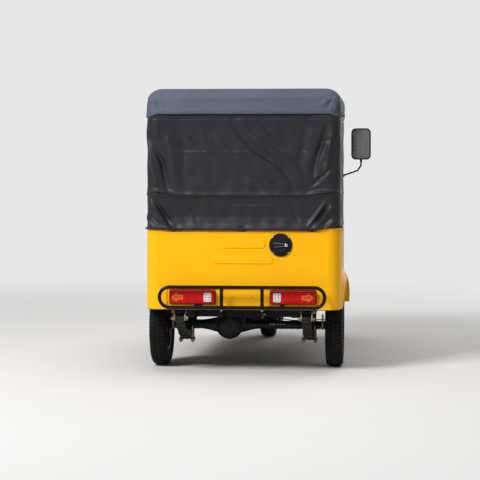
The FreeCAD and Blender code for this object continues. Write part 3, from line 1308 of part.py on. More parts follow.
def build_nodes():
    """Every node with its solid, in the vehicle frame."""
    right = (WHEEL_HALF_TRACK, REAR_AXLE_Y)
    spring = leaf_spring()
    lamp = tail_lamp()
    mirror = mirror_unit()
    nodes = {
        "chassis_frame": chassis_frame(),
        "rear_body": rear_body(),
        "wheel_houses": wheel_houses(),
        "floor_pan": floor_pan(),
        "side_sills": side_sills(),
        "seat_box": seat_box(),
        "seat_back_board": seat_back_board(),
        "rear_seat_cushion": rear_seat_cushion(),
        "rear_seat_back": rear_seat_back(),
        "engine_cover": engine_cover(),
        "engine": engine(),
        "exhaust_silencer": silencer(),
        "propeller_shaft": propeller_shaft(),
        "rear_axle_housing": axle_housing(),
        "brake_backing_plates": backing_plates(),
        "leaf_spring_right": spring,
        "leaf_spring_left": mirrored(spring),
        "spring_shackles": pair(shackle()),
        "rear_bumper": rear_bumper(),
        "tail_lamp_right": lamp,
        "tail_lamp_left": mirrored(lamp),
        "fuel_cap": fuel_cap(),
        "front_cowl": front_cowl(),
        "headlamps": headlamps(),
        "dash_panel": dash_panel(),
        "windscreen_frame": windscreen_frame(),
        "windscreen_glass": windscreen_glass(),
        "hood_posts": hood_posts(),
        "hood_bows": hood_bows(),
        "roof_cover": roof_cover(),
        "rear_curtain": rear_curtain(),
        "partition_rail": partition_rail(),
        "driver_seat_cushion": driver_seat_cushion(),
        "driver_seat_back": driver_seat_back(),
        "mirror_right": mirror,
        "mirror_left": mirrored(mirror),
        "front_fork": front_fork(),
        "front_mudguard": front_mudguard(),
        "handlebar": handlebar(),
        "front_tyre": wheel_place(tyre(), 0, FRONT_AXLE_Y),
        "front_rim": wheel_place(front_rim(), 0, FRONT_AXLE_Y),
        "rear_tyre_right": wheel_place(tyre(), *right),
        "rear_rim_right": wheel_place(rear_rim(), *right),
        "rear_tyre_left": wheel_place(tyre(), -right[0], right[1]),
        "rear_rim_left": wheel_place(rear_rim(), -right[0], right[1], -1),
    }
    return nodes


# The origin lies on the ground under the middle of the overall length.
MIDDLE_Y = (BUMPER_Y - BUMPER_TUBE + FRONT_AXLE_Y + TYRE_RADIUS) / 2

os.makedirs("parts", exist_ok=True)
for name, shape in build_nodes().items():
    shape.translate(V(0, -MIDDLE_Y, 0))
    shape.exportStep("parts/" + name + ".step")
    print(name, "valid" if shape.isValid() else "NOT VALID", len(shape.Solids), round(shape.Volume / 1e6, 3))
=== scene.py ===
import json
import math
import random

import bmesh
import bpy
import numpy as np
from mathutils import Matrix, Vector
from mathutils.bvhtree import BVHTree

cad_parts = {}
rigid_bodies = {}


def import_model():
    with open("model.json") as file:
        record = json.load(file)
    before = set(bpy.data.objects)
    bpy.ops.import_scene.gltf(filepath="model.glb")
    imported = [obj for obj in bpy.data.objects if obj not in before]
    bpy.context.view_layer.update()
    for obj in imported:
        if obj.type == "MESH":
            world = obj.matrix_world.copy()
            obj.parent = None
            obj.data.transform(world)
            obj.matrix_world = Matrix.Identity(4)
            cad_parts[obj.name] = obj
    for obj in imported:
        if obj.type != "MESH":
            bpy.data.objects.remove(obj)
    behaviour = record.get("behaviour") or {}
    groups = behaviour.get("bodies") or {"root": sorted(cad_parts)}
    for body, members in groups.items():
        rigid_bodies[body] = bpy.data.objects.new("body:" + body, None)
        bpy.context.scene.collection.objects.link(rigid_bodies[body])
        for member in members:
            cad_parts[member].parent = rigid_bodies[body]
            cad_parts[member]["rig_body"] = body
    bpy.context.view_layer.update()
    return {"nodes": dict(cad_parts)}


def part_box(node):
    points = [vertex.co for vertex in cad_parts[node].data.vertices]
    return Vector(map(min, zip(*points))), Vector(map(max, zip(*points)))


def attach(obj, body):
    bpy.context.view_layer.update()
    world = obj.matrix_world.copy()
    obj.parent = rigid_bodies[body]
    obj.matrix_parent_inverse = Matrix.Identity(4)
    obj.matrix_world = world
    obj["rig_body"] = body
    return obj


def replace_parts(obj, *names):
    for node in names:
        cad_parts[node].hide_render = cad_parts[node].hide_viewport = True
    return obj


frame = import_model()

# An auto rickshaw from behind: finishes, canvas, padding, tyres and small fittings.
# Canvas, pads and tyres are in metres. Fittings are in millimetres on the axes of the
# construction drawing. +Y is the vehicle's front, +X its right, +Z up.

random.seed(7)

# Photograph's viewpoint
CAMERA_PLACE = (0.94, -12.8275, 1.336)
CAMERA_YAW = math.radians(4.75)
CAMERA_PITCH = math.radians(-2.48)
CAMERA_LENS = 138.45
CAMERA_SENSOR = 36.0

# Plan of the bodywork: the sides come in towards the front
TAPER = 0.040
TAPER_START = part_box("rear_body")[1].y
TAPER_END = 0.7605

# Canvas
CLOTH = 0.0016
BOW_HEIGHT = 1.117
HEADER_HEIGHT = 1.598
FASTENER_X = (-0.429, 0.0, 0.428)
CURTAIN_LOW, CURTAIN_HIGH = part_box("rear_curtain")
CURTAIN_CORNER = 0.078
CURTAIN_REACH = (CURTAIN_HIGH.x + CURTAIN_CORNER * math.pi / 2
                 + CURTAIN_HIGH.y - CURTAIN_LOW.y - 2 * CURTAIN_CORNER)

# Wheels on the drawing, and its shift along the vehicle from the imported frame
REAR_AXLE = (-890.0, 265.0)
FRONT_AXLE = (1110.0, 265.0)
DRAWING_SHIFT = sum(corner.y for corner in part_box("rear_tyre_right")) * 500.0 - REAR_AXLE[0]

# Smoothing of the carried-over solids: weld distance, and angle of the edges that stay crisp
WELD = 0.00001
CRISP_ANGLE = math.radians(28)


class Graph:
    """Nodes of a material, the world or a modifier, each made with its links."""

    def __init__(self, tree):
        self.tree = tree

    def feed(self, socket, value):
        """Link a socket to an input, or set its value."""
        if isinstance(value, bpy.types.NodeSocket):
            self.tree.links.new(value, socket)
        else:
            socket.default_value = value

    def node(self, kind, inputs=(), **settings):
        made = self.tree.nodes.new(kind)
        for key, value in settings.items():
            setattr(made, key, value)
        for key, value in dict(inputs).items():
            self.feed(made.inputs[key], value)
        return made

    def spread(self, value, low, high, out_low=0.0, out_high=1.0):
        """Map a value's range onto another, clamped."""
        inputs = {"Value": value, "From Min": low, "From Max": high, "To Min": out_low, "To Max": out_high}
        return self.node("ShaderNodeMapRange", inputs).outputs[0]

    def maths(self, operation, a, b):
        return self.node("ShaderNodeMath", {0: a, 1: b}, operation=operation).outputs[0]

    def times(self, a, b):
        return self.maths("MULTIPLY", a, b)

    def plus(self, a, b):
        return self.maths("ADD", a, b)


class Shader(Graph):
    """A procedural material round one principled shader."""

    def __init__(self, name, **fixed):
        self.material = bpy.data.materials.new(name)
        self.material.use_nodes = True
        super().__init__(self.material.node_tree)
        self.surface = self.tree.nodes["Principled BSDF"]
        for socket, value in fixed.items():
            self.surface.inputs[socket.replace("_", " ")].default_value = value
        self.place = self.node("ShaderNodeTexCoord").outputs["Object"]

    def stretched(self, scale):
        """The place, scaled differently along each axis."""
        return self.node("ShaderNodeMapping", {"Vector": self.place, "Scale": scale}).outputs[0]

    def noise(self, scale, detail=3.0, rough=0.5, place=None):
        inputs = {"Vector": place or self.place, "Scale": scale, "Detail": detail, "Roughness": rough}
        return self.node("ShaderNodeTexNoise", inputs).outputs["Fac"]

    def patches(self, scale, detail, low, high, rough=0.5):
        """Noise whose range between two values is spread over the whole."""
        return self.spread(self.noise(scale, detail, rough), low, high)

    def cell_edges(self, scale):
        inputs = {"Vector": self.place, "Scale": scale}
        return self.node("ShaderNodeTexVoronoi", inputs, feature="DISTANCE_TO_EDGE").outputs["Distance"]

    def wave(self, scale, axis, distortion=0.0):
        inputs = {"Vector": self.place, "Scale": scale, "Distortion": distortion}
        return self.node("ShaderNodeTexWave", inputs, bands_direction=axis).outputs["Fac"]

    def mix(self, factor, first, second):
        """Blend two colours, each a socket or a triple."""
        first, second = (colour if isinstance(colour, bpy.types.NodeSocket) else (*colour, 1.0)
                         for colour in (first, second))
        return self.node("ShaderNodeMix", {0: factor, 6: first, 7: second}, data_type="RGBA").outputs[2]

    def up_part(self, vector):
        return self.node("ShaderNodeSeparateXYZ", {0: vector}).outputs["Z"]

    def colour(self, factor, first, second):
        self.feed(self.surface.inputs["Base Color"], self.mix(factor, first, second))

    def rough(self, value, least, more, low=0.3, high=0.7):
        """Roughness that rises from the least by some more as the value goes from low to high."""
        self.feed(self.surface.inputs["Roughness"], self.spread(value, low, high, least, least + more))

    def bump(self, *layers):
        """Stack (height, strength, distance) bumps onto the surface."""
        below = {}
        for height, strength, distance in layers:
            inputs = {"Height": height, "Strength": strength, "Distance": distance, **below}
            below = {"Normal": self.node("ShaderNodeBump", inputs).outputs[0]}
        self.feed(self.surface.inputs["Normal"], below["Normal"])


def shaded(colour, share):
    """A colour made darker or lighter."""
    return tuple(part * share for part in colour)


def paint(name, colour, shade, rough, coat, shine, dust=0.0):
    """Sprayed enamel: slight tone changes, fine orange peel, dust low down."""
    s = Shader(name, Coat_Weight=coat, Coat_Roughness=0.10, Specular_IOR_Level=shine)
    tone = s.mix(s.patches(2.2, 4.0, 0.35, 0.65), colour, shade)
    low = s.spread(s.up_part(s.place), 0.62, 0.30)
    dirt = s.times(s.times(low, s.patches(9.0, 6.0, 0.45, 0.78, 0.6)), dust)
    s.colour(dirt, tone, (0.20, 0.165, 0.13))
    s.rough(s.plus(s.noise(30.0, 4.0), dirt), rough, 0.16, high=0.9)
    s.bump((s.noise(420.0, 2.0), 0.04, 0.0006), (s.noise(5.0, 2.0), 0.03, 0.004))
    return s.material


def dusty_metal(name, colour, rough, dust, metal=0.0, pits=0.12, shine=0.35):
    """Painted or bare chassis metal with road dust on what faces up."""
    s = Shader(name, Metallic=metal, Specular_IOR_Level=shine)
    up = s.spread(s.up_part(s.node("ShaderNodeNewGeometry").outputs["Normal"]), -0.1, 1.0)
    dirt = s.times(s.times(s.patches(14.0, 6.0, 0.4, 0.75, 0.65), s.plus(up, 0.25)), dust)
    s.colour(dirt, s.mix(s.noise(35.0, 4.0), colour, shaded(colour, 0.7)), (0.115, 0.098, 0.078))
    s.rough(s.plus(s.noise(60.0, 4.0), dirt), rough, 0.35, high=1.0)
    s.bump((s.noise(260.0, 5.0), pits, 0.0008))
    return s.material


def zinc(name, colour, rust):
    """Zinc plated steel, tarnished in patches."""
    s = Shader(name, Metallic=0.75)
    s.colour(s.patches(70.0, 5.0, 0.35, 0.7, 0.6), colour, rust)
    s.rough(s.noise(120.0, 4.0), 0.34, 0.26)
    s.bump((s.noise(500.0, 4.0), 0.1, 0.0005))
    return s.material


def canvas(name, colour, rough, shine):
    """Coated hood cloth: a fine weave under the coating, soft gloss and faint scuffs."""
    s = Shader(name, Specular_IOR_Level=shine)
    tone = s.mix(s.patches(3.5, 5.0, 0.3, 0.7), colour, shaded(colour, 0.84))
    s.colour(s.times(s.patches(18.0, 7.0, 0.62, 0.82, 0.7), 0.20), tone, shaded(colour, 2.0))
    s.rough(s.noise(26.0, 5.0), rough, 0.14, high=0.75)
    threads = [s.wave(260.0, axis, 0.4) for axis in "XYZ"]
    weave = s.plus(s.plus(threads[0], threads[1]), threads[2])
    s.bump((weave, 0.10, 0.0004), (s.noise(650.0, 2.0), 0.12, 0.0005), (s.noise(22.0, 4.0), 0.18, 0.002))
    return s.material


def vinyl(name, colour):
    """Grained seat vinyl."""
    s = Shader(name, Specular_IOR_Level=0.45)
    s.colour(s.times(s.patches(7.0, 6.0, 0.5, 0.8, 0.6), 0.35), colour, shaded(colour, 2.2))
    s.rough(s.noise(16.0, 4.0), 0.38, 0.16)
    s.bump((s.spread(s.cell_edges(520.0), 0.0, 0.18), 0.22, 0.0006), (s.noise(40.0, 3.0), 0.08, 0.002))
    return s.material


def rubber(name, colour):
    """Tyre rubber, greyer and dusty in patches."""
    s = Shader(name, Specular_IOR_Level=0.14)
    s.colour(s.times(s.patches(8.0, 7.0, 0.45, 0.8, 0.65), 0.12), colour, (0.07, 0.062, 0.052))
    s.rough(s.noise(50.0, 4.0), 0.52, 0.26)
    s.bump((s.noise(700.0, 3.0), 0.15, 0.0005))
    return s.material


def plastic(name, colour, rough, grain=0.12, shine=0.4):
    """Moulded plastic with a fine grain."""
    s = Shader(name, Specular_IOR_Level=shine)
    s.colour(s.noise(12.0, 4.0), colour, shaded(colour, 0.8))
    s.rough(s.noise(45.0, 5.0), rough, 0.12)
    s.bump((s.noise(900.0, 2.0), grain, 0.0003))
    return s.material


def lens(name, colour, ribs=110.0, shine=0.18, coat=0.12):
    """Coloured lamp lens with moulded prisms."""
    s = Shader(name, Coat_Weight=coat, Coat_Roughness=0.08, Specular_IOR_Level=shine)
    s.colour(s.patches(60.0, 3.0, 0.35, 0.7), colour, shaded(colour, 0.80))
    s.rough(s.noise(80.0, 3.0), 0.20, 0.08)
    s.bump((s.wave(ribs, "Z"), 0.08, 0.0006))
    return s.material


def glass(name, tint):
    """Window glass with faint dust."""
    s = Shader(name, Transmission_Weight=0.96, IOR=1.45)
    s.colour(s.patches(6.0, 5.0, 0.5, 0.9), tint, shaded(tint, 0.9))
    s.rough(s.noise(20.0, 6.0), 0.0, 0.02, 0.5, 0.85)
    return s.material


def silver(name, colour, rough, metal):
    """Silver paint or polished metal with fine brushing."""
    s = Shader(name, Metallic=metal)
    s.colour(s.patches(11.0, 6.0, 0.4, 0.75), colour, shaded(colour, 0.72))
    s.rough(s.noise(70.0, 5.0), rough, 0.15)
    s.bump((s.noise(600.0, 2.0, place=s.stretched((1.0, 1.0, 0.15))), 0.06, 0.0003))
    return s.material


YELLOW = paint("yellow_enamel", (0.96, 0.474, 0.0015), (0.94, 0.452, 0.0015), 0.34, 0.04, 0.16)
BLACK = paint("black_enamel", (0.005, 0.005, 0.0055), (0.007, 0.007, 0.0075), 0.15, 0.02, 0.11, 0.05)
CHASSIS = dusty_metal("chassis_black", (0.006, 0.006, 0.0065), 0.46, 0.10, shine=0.16)
AXLE_BLACK = dusty_metal("axle_black", (0.0065, 0.0065, 0.007), 0.34, 0.08, shine=0.26)
SPRING_STEEL = dusty_metal("spring_steel", (0.010, 0.0095, 0.009), 0.36, 0.16, shine=0.32)
FLOOR_STEEL = dusty_metal("floor_grey", (0.045, 0.046, 0.048), 0.5, 0.5)
CAST = dusty_metal("cast_metal", (0.040, 0.040, 0.043), 0.5, 0.3, metal=0.5, pits=0.25, shine=0.2)
ZINC = zinc("zinc_plate", (0.50, 0.42, 0.28), (0.17, 0.105, 0.06))
CURTAIN_CLOTH = canvas("curtain_cloth", (0.0168, 0.0171, 0.0203), 0.38, 0.27)
# Roof cloth colour: partly the cloth's own grey, partly a painted sky reflection that makes it lighter and
# bluer than the curtain's cloth
ROOF_CLOTH_AND_SKY_SHEEN = canvas("roof_cloth", (0.082, 0.094, 0.129), 0.58, 0.20)
THREAD = plastic("thread", (0.055, 0.055, 0.058), 0.7, 0.3)
VINYL = vinyl("seat_vinyl_black", (0.035, 0.034, 0.034))
PIPING = vinyl("piping_vinyl", (0.055, 0.053, 0.052))
RUBBER = rubber("tyre_black", (0.0065, 0.0065, 0.0068))
RIM = silver("rim_grey", (0.13, 0.13, 0.135), 0.34, 0.5)
CHROME = silver("bright_metal", (0.72, 0.73, 0.74), 0.10, 1.0)
STEEL = silver("plain_steel", (0.38, 0.38, 0.39), 0.30, 0.9)
MIRROR = silver("mirror_glass", (0.30, 0.31, 0.32), 0.03, 1.0)
BLACK_PLASTIC = plastic("moulded_black", (0.008, 0.008, 0.009), 0.40, shine=0.22)
SOFT_BLACK = plastic("soft_black", (0.009, 0.009, 0.009), 0.62, 0.3)
RED_LENS = lens("red_lens", (0.64, 0.006, 0.006), shine=0.10, coat=0.06)
DARK_RED = lens("dark_red_lens", (0.30, 0.005, 0.007), shine=0.10, coat=0.06)
ORANGE_LENS = lens("orange_lens", (0.80, 0.20, 0.022), ribs=160.0)
WHITE_LENS = lens("white_lens", (0.74, 0.72, 0.72), ribs=160.0)
LED_GREY = plastic("led_grey", (0.44, 0.43, 0.44), 0.35)
CLEAR_LENS = glass("clear_lens", (0.90, 0.93, 0.94))
SCREEN = glass("screen_pane", (0.86, 0.93, 0.91))

NODE_FINISHES = {
    YELLOW: "rear_body side_sills engine_cover front_cowl",
    BLACK: "seat_back_board rear_bumper windscreen_frame hood_posts hood_bows partition_rail"
           " front_fork front_mudguard handlebar",
    CHASSIS: "chassis_frame wheel_houses propeller_shaft brake_backing_plates",
    AXLE_BLACK: "rear_axle_housing",
    SPRING_STEEL: "leaf_spring_right leaf_spring_left",
    FLOOR_STEEL: "floor_pan seat_box",
    CAST: "engine exhaust_silencer",
    ZINC: "spring_shackles",
    RED_LENS: "tail_lamp_right tail_lamp_left",
    CHROME: "headlamps",
    SCREEN: "windscreen_glass",
    BLACK_PLASTIC: "fuel_cap dash_panel mirror_right mirror_left",
    ROOF_CLOTH_AND_SKY_SHEEN: "roof_cover",
    CURTAIN_CLOTH: "rear_curtain",
    VINYL: "driver_seat_cushion driver_seat_back rear_seat_cushion rear_seat_back",
    RUBBER: "front_tyre rear_tyre_right rear_tyre_left",
    RIM: "front_rim rear_rim_right rear_rim_left",
}

# Pressed sheet and welded box pieces whose edges are slightly rounded, with the radius
SOFT_EDGES = {
    "engine_cover": 0.0030, "seat_box": 0.0015, "side_sills": 0.0030, "chassis_frame": 0.0015,
    "windscreen_frame": 0.0025, "seat_back_board": 0.0015, "engine": 0.0040,
}


def smooth_group():
    """Modifier that welds the facets and shades them smooth, apart from edges over an angle."""
    group = bpy.data.node_groups.new("smooth_curves", "GeometryNodeTree")
    for way in ("INPUT", "OUTPUT"):
        group.interface.new_socket("Geometry", in_out=way, socket_type="NodeSocketGeometry")
    g = Graph(group)
    solid = g.node("NodeGroupInput").outputs[0]
    solid = g.node("GeometryNodeMergeByDistance", {"Geometry": solid, "Distance": WELD}).outputs[0]
    solid = g.node("GeometryNodeSetShadeSmooth", {"Geometry": solid}, domain="FACE").outputs[0]
    angle = g.node("GeometryNodeInputMeshEdgeAngle").outputs["Unsigned Angle"]
    sharp = g.node("FunctionNodeCompare", {"A": angle, "B": CRISP_ANGLE},
                   data_type="FLOAT", operation="GREATER_THAN").outputs[0]
    crisp = {"Geometry": solid, "Selection": sharp, "Shade Smooth": False}
    g.node("NodeGroupOutput", {0: g.node("GeometryNodeSetShadeSmooth", crisp, domain="EDGE").outputs[0]})
    return group


def finish_nodes():
    """Give every carried-over piece its finish, smooth curves and crisp edges."""
    group = smooth_group()
    for finish, names in NODE_FINISHES.items():
        for name in names.split():
            obj = frame["nodes"][name]
            obj.data.materials.clear()
            obj.data.materials.append(finish)
            obj.modifiers.new("smooth_curves", "NODES").node_group = group
            if name in SOFT_EDGES:
                bevel = obj.modifiers.new("soft_edges", "BEVEL")
                bevel.width = SOFT_EDGES[name]
                bevel.segments = 2
                bevel.limit_method = "ANGLE"
                bevel.angle_limit = math.radians(50)
                bevel.harden_normals = False


def new_object(mesh, body):
    obj = bpy.data.objects.new(mesh.name, mesh)
    bpy.context.scene.collection.objects.link(obj)
    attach(obj, body)
    return obj


def new_mesh(name, vertices, faces, finishes):
    """Smoothly shaded mesh in the given finishes."""
    mesh = bpy.data.meshes.new(name)
    mesh.from_pydata(vertices, [], faces)
    mesh.polygons.foreach_set("use_smooth", [True] * len(mesh.polygons))
    for finish in finishes:
        mesh.materials.append(finish)
    return mesh


def grid_mesh(name, points, finish):
    """Smooth surface from a numpy array of points, rows by columns by 3."""
    rows, columns = points.shape[:2]
    index = np.arange(rows * columns).reshape(rows, columns)
    faces = np.stack([index[:-1, :-1], index[:-1, 1:], index[1:, 1:], index[1:, :-1]], axis=-1)
    return new_mesh(name, points.reshape(-1, 3).tolist(), faces.reshape(-1, 4).tolist(), [finish])


def face_outwards(mesh, crisp_angle, weld=0.0):
    """Turn all faces outwards and keep the edges over an angle in degrees crisp."""
    bm = bmesh.new()
    bm.from_mesh(mesh)
    if weld:
        bmesh.ops.remove_doubles(bm, verts=bm.verts, dist=weld)
    bmesh.ops.recalc_face_normals(bm, faces=bm.faces)
    bm.to_mesh(mesh)
    bm.free()
    mesh.set_sharp_from_angle(angle=math.radians(crisp_angle))


def vertex_rows(mesh, attribute="co"):
    """An attribute of the vertices, such as the place or the normal, as rows of three."""
    values = np.zeros(len(mesh.vertices) * 3)
    mesh.vertices.foreach_get(attribute, values)
    return values.reshape(-1, 3)


def set_places(mesh, places):
    mesh.vertices.foreach_set("co", places.reshape(-1))
    mesh.update()


def smoothstep(value, low, high):
    """Soft step from 0 at low to 1 at high, also downwards where low is the greater."""
    t = np.clip((value - low) / (high - low), 0.0, 1.0)
    return t * t * (3.0 - 2.0 * t)


def bell(value, width):
    """Bump of height 1 round zero."""
    return np.exp(-(value / width) ** 2)


def bands(*stretches):
    """Sorted places from (start, end, step) stretches that follow each other."""
    places = []
    for start, end, step in stretches:
        count = max(1, round((end - start) / step))
        places.extend(start + (end - start) * i / count for i in range(count))
    places.append(stretches[-1][1])
    return np.array(places)


def fold_field(across, height, folds):
    """Outward displacement of the cloth from a table of folds.

    A fold runs along a chain of (across, height) points. Its cross section is a bell of the
    given half width and depth, wider on one side by the lean, and it fades out at both ends.
    """
    total = np.zeros_like(across)
    for path, width, depth, lean in folds:
        best = np.full(across.shape, 1e9)
        side = np.zeros_like(across)
        along = np.zeros_like(across)
        lengths = [math.dist(a, b) for a, b in zip(path, path[1:])]
        start = 0.0
        for a, b, length in zip(path, path[1:], lengths):
            du, dz = (b[0] - a[0]) / length, (b[1] - a[1]) / length
            t = np.clip((across - a[0]) * du + (height - a[1]) * dz, 0.0, length)
            off_u, off_z = across - a[0] - t * du, height - a[1] - t * dz
            distance = np.hypot(off_u, off_z)
            nearer = distance < best
            best = np.where(nearer, distance, best)
            side = np.where(nearer, np.sign(off_z * du - off_u * dz), side)
            along = np.where(nearer, (start + t) / sum(lengths), along)
            start += length
        fade = np.sin(np.pi * np.clip(along, 0.02, 0.98)) ** 0.7
        total += depth * fade * bell(best, width * (1.0 + lean * side))
    return total


CURTAIN_FOLD_STRENGTH = 1.35
ROOF_FOLD_STRENGTH = 1.15

# Folds of the rear curtain: (across, height) points, half width, depth outwards, lean to the right
BACK_FOLDS = (
    ([(-0.630, 1.60), (-0.560, 1.40), (-0.511, 1.324), (-0.472, 1.135)], 0.019, -0.020, 0.25),
    ([(-0.640, 1.57), (-0.575, 1.324), (-0.535, 1.148)], 0.013, 0.009, 0.0),
    ([(-0.480, 1.50), (-0.440, 1.32), (-0.415, 1.16)], 0.022, 0.006, 0.3),
    ([(-0.400, 1.58), (-0.375, 1.42), (-0.370, 1.20)], 0.030, -0.005, 0.2),
    ([(-0.625, 1.146), (-0.540, 1.139), (-0.420, 1.122)], 0.008, 0.013, 0.4),
    ([(-0.600, 1.100), (-0.540, 1.020), (-0.480, 0.930), (-0.448, 0.893)], 0.008, 0.014, 0.3),
    ([(-0.570, 1.105), (-0.505, 1.010), (-0.445, 0.915)], 0.014, -0.013, 0.3),
    ([(-0.535, 1.085), (-0.470, 0.990), (-0.418, 0.910)], 0.012, 0.005, 0.0),
    ([(-0.640, 1.06), (-0.575, 0.980), (-0.500, 0.900)], 0.012, -0.011, -0.2),
    ([(-0.655, 1.00), (-0.600, 0.945), (-0.540, 0.900)], 0.010, 0.006, 0.0),
    ([(0.548, 1.075), (0.475, 0.970), (0.413, 0.890)], 0.011, -0.014, 0.2),
    ([(0.525, 1.085), (0.455, 0.985), (0.398, 0.905)], 0.011, 0.006, 0.0),
    ([(0.565, 1.055), (0.495, 0.960), (0.435, 0.895)], 0.007, 0.010, 0.2),
    ([(0.575, 1.005), (0.520, 0.940), (0.470, 0.897)], 0.008, -0.010, 0.0),
    ([(0.592, 0.985), (0.545, 0.930), (0.505, 0.897)], 0.007, 0.008, 0.0),
    ([(0.600, 0.945), (0.565, 0.915), (0.535, 0.897)], 0.007, -0.006, 0.0),
    ([(0.620, 1.147), (0.540, 1.139), (0.415, 1.122)], 0.008, 0.013, -0.4),
    ([(0.545, 1.59), (0.505, 1.47), (0.456, 1.32), (0.440, 1.22)], 0.018, -0.016, -0.2),
    ([(0.575, 1.55), (0.540, 1.42), (0.515, 1.22)], 0.013, 0.009, 0.0),
    ([(0.600, 1.50), (0.575, 1.36), (0.560, 1.18)], 0.014, -0.010, 0.0),
    ([(0.570, 1.31), (0.510, 1.245), (0.440, 1.185)], 0.013, -0.009, 0.2),
    ([(0.560, 1.27), (0.500, 1.21), (0.440, 1.160)], 0.009, 0.006, 0.0),
    ([(0.595, 1.350), (0.545, 1.328), (0.490, 1.318)], 0.014, -0.003, 0.0),
    ([(0.595, 1.480), (0.550, 1.462), (0.510, 1.450)], 0.012, -0.004, 0.0),
    ([(0.400, 1.58), (0.380, 1.45), (0.350, 1.30)], 0.026, -0.005, 0.2),
    ([(-0.070, 1.58), (-0.015, 1.485), (0.065, 1.405), (0.150, 1.350),
      (0.230, 1.295), (0.290, 1.230), (0.330, 1.150)], 0.022, -0.0120, 0.25),
    ([(-0.020, 1.58), (0.040, 1.495), (0.130, 1.425), (0.230, 1.365), (0.320, 1.300), (0.395, 1.20)],
     0.019, 0.0090, 0.0),
    ([(0.100, 1.58), (0.180, 1.49), (0.330, 1.42), (0.440, 1.37)], 0.016, -0.007, 0.2),
    ([(-0.160, 1.45), (-0.03, 1.33), (0.110, 1.24), (0.22, 1.14)], 0.017, 0.007, 0.2),
    ([(-0.210, 1.42), (-0.08, 1.30), (0.060, 1.21), (0.15, 1.13)], 0.020, -0.005, 0.0),
    ([(-0.401, 1.56), (-0.330, 1.48), (-0.240, 1.38)], 0.008, -0.006, 0.2),
    ([(-0.300, 1.57), (-0.240, 1.50), (-0.160, 1.42)], 0.018, 0.004, 0.2),
    ([(-0.330, 1.34), (-0.220, 1.27), (-0.100, 1.16)], 0.020, -0.004, 0.0),
    ([(-0.640, 1.386), (-0.1, 1.383), (0.480, 1.384)], 0.005, 0.0024, 0.0),
    ([(-0.220, 1.047), (0.05, 1.048), (0.330, 1.046)], 0.006, 0.0022, 0.0),
    ([(-0.36, 1.08), (-0.30, 1.00), (-0.28, 0.92)], 0.016, -0.004, 0.0),
    ([(0.30, 1.08), (0.33, 1.00), (0.36, 0.92)], 0.016, -0.004, 0.0),
)
# Folds that both quarters of the curtain have
QUARTER_FOLDS = (
    ([(0.72, 1.60), (0.80, 1.36), (0.84, 1.14)], 0.032, -0.010, 0.2),
    ([(0.90, 1.58), (1.02, 1.34), (1.10, 1.12)], 0.032, 0.006, 0.0),
    ([(0.74, 1.09), (0.86, 0.99), (0.95, 0.90)], 0.026, 0.006, 0.0),
)
CURTAIN_FOLDS = BACK_FOLDS + QUARTER_FOLDS + tuple(
    ([(-across, height) for across, height in path], *shape) for path, *shape in QUARTER_FOLDS)

# Puckers of the roof's rear corners and the crease along its rear edge, as the curtain's folds
ROOF_FOLDS = (
    ([(-0.580, 1.735), (-0.550, 1.700), (-0.520, 1.650)], 0.010, -0.010, 0.2),
    ([(-0.600, 1.715), (-0.585, 1.685), (-0.572, 1.645)], 0.009, 0.006, 0.0),
    ([(-0.545, 1.720), (-0.515, 1.690), (-0.480, 1.660)], 0.008, 0.004, 0.0),
    ([(-0.560, 1.750), (-0.500, 1.727), (-0.440, 1.716)], 0.009, -0.005, 0.0),
    ([(0.575, 1.735), (0.550, 1.700), (0.520, 1.650)], 0.010, -0.009, -0.2),
    ([(0.598, 1.715), (0.584, 1.685), (0.572, 1.645)], 0.009, 0.006, 0.0),
    ([(0.540, 1.722), (0.505, 1.690), (0.470, 1.665)], 0.008, 0.004, 0.0),
    ([(0.590, 1.750), (0.540, 1.728), (0.470, 1.716)], 0.009, -0.005, 0.0),
    ([(-0.30, 1.700), (-0.1, 1.690), (0.20, 1.697)], 0.020, -0.0025, 0.0),
    ([(-0.46, 1.690), (-0.36, 1.672), (-0.25, 1.668)], 0.010, -0.0025, 0.0),
    ([(0.25, 1.672), (0.36, 1.676), (0.46, 1.694)], 0.010, -0.0025, 0.0),
    ([(0.610, 1.700), (0.600, 1.668), (0.590, 1.640)], 0.009, -0.004, 0.0),
    ([(-0.600, 1.716), (-0.500, 1.727), (0.0, 1.729), (0.500, 1.727), (0.600, 1.716)], 0.007, 0.0022, 0.0),
)


def curtain_path(across):
    """Plan point and outward direction at a signed distance from the rear centre line."""
    straight = CURTAIN_HIGH.x - CURTAIN_CORNER
    quarter = CURTAIN_CORNER * math.pi / 2
    size = np.abs(across)
    sign = np.sign(across)
    angle = np.clip((size - straight) / CURTAIN_CORNER, 0.0, math.pi / 2)
    x = np.where(size < straight, size, straight + CURTAIN_CORNER * np.sin(angle))
    y = (CURTAIN_LOW.y + CURTAIN_CORNER * (1.0 - np.cos(angle))
         + np.maximum(size - straight - quarter, 0.0))
    return sign * x, y, sign * np.sin(angle), -np.cos(angle)


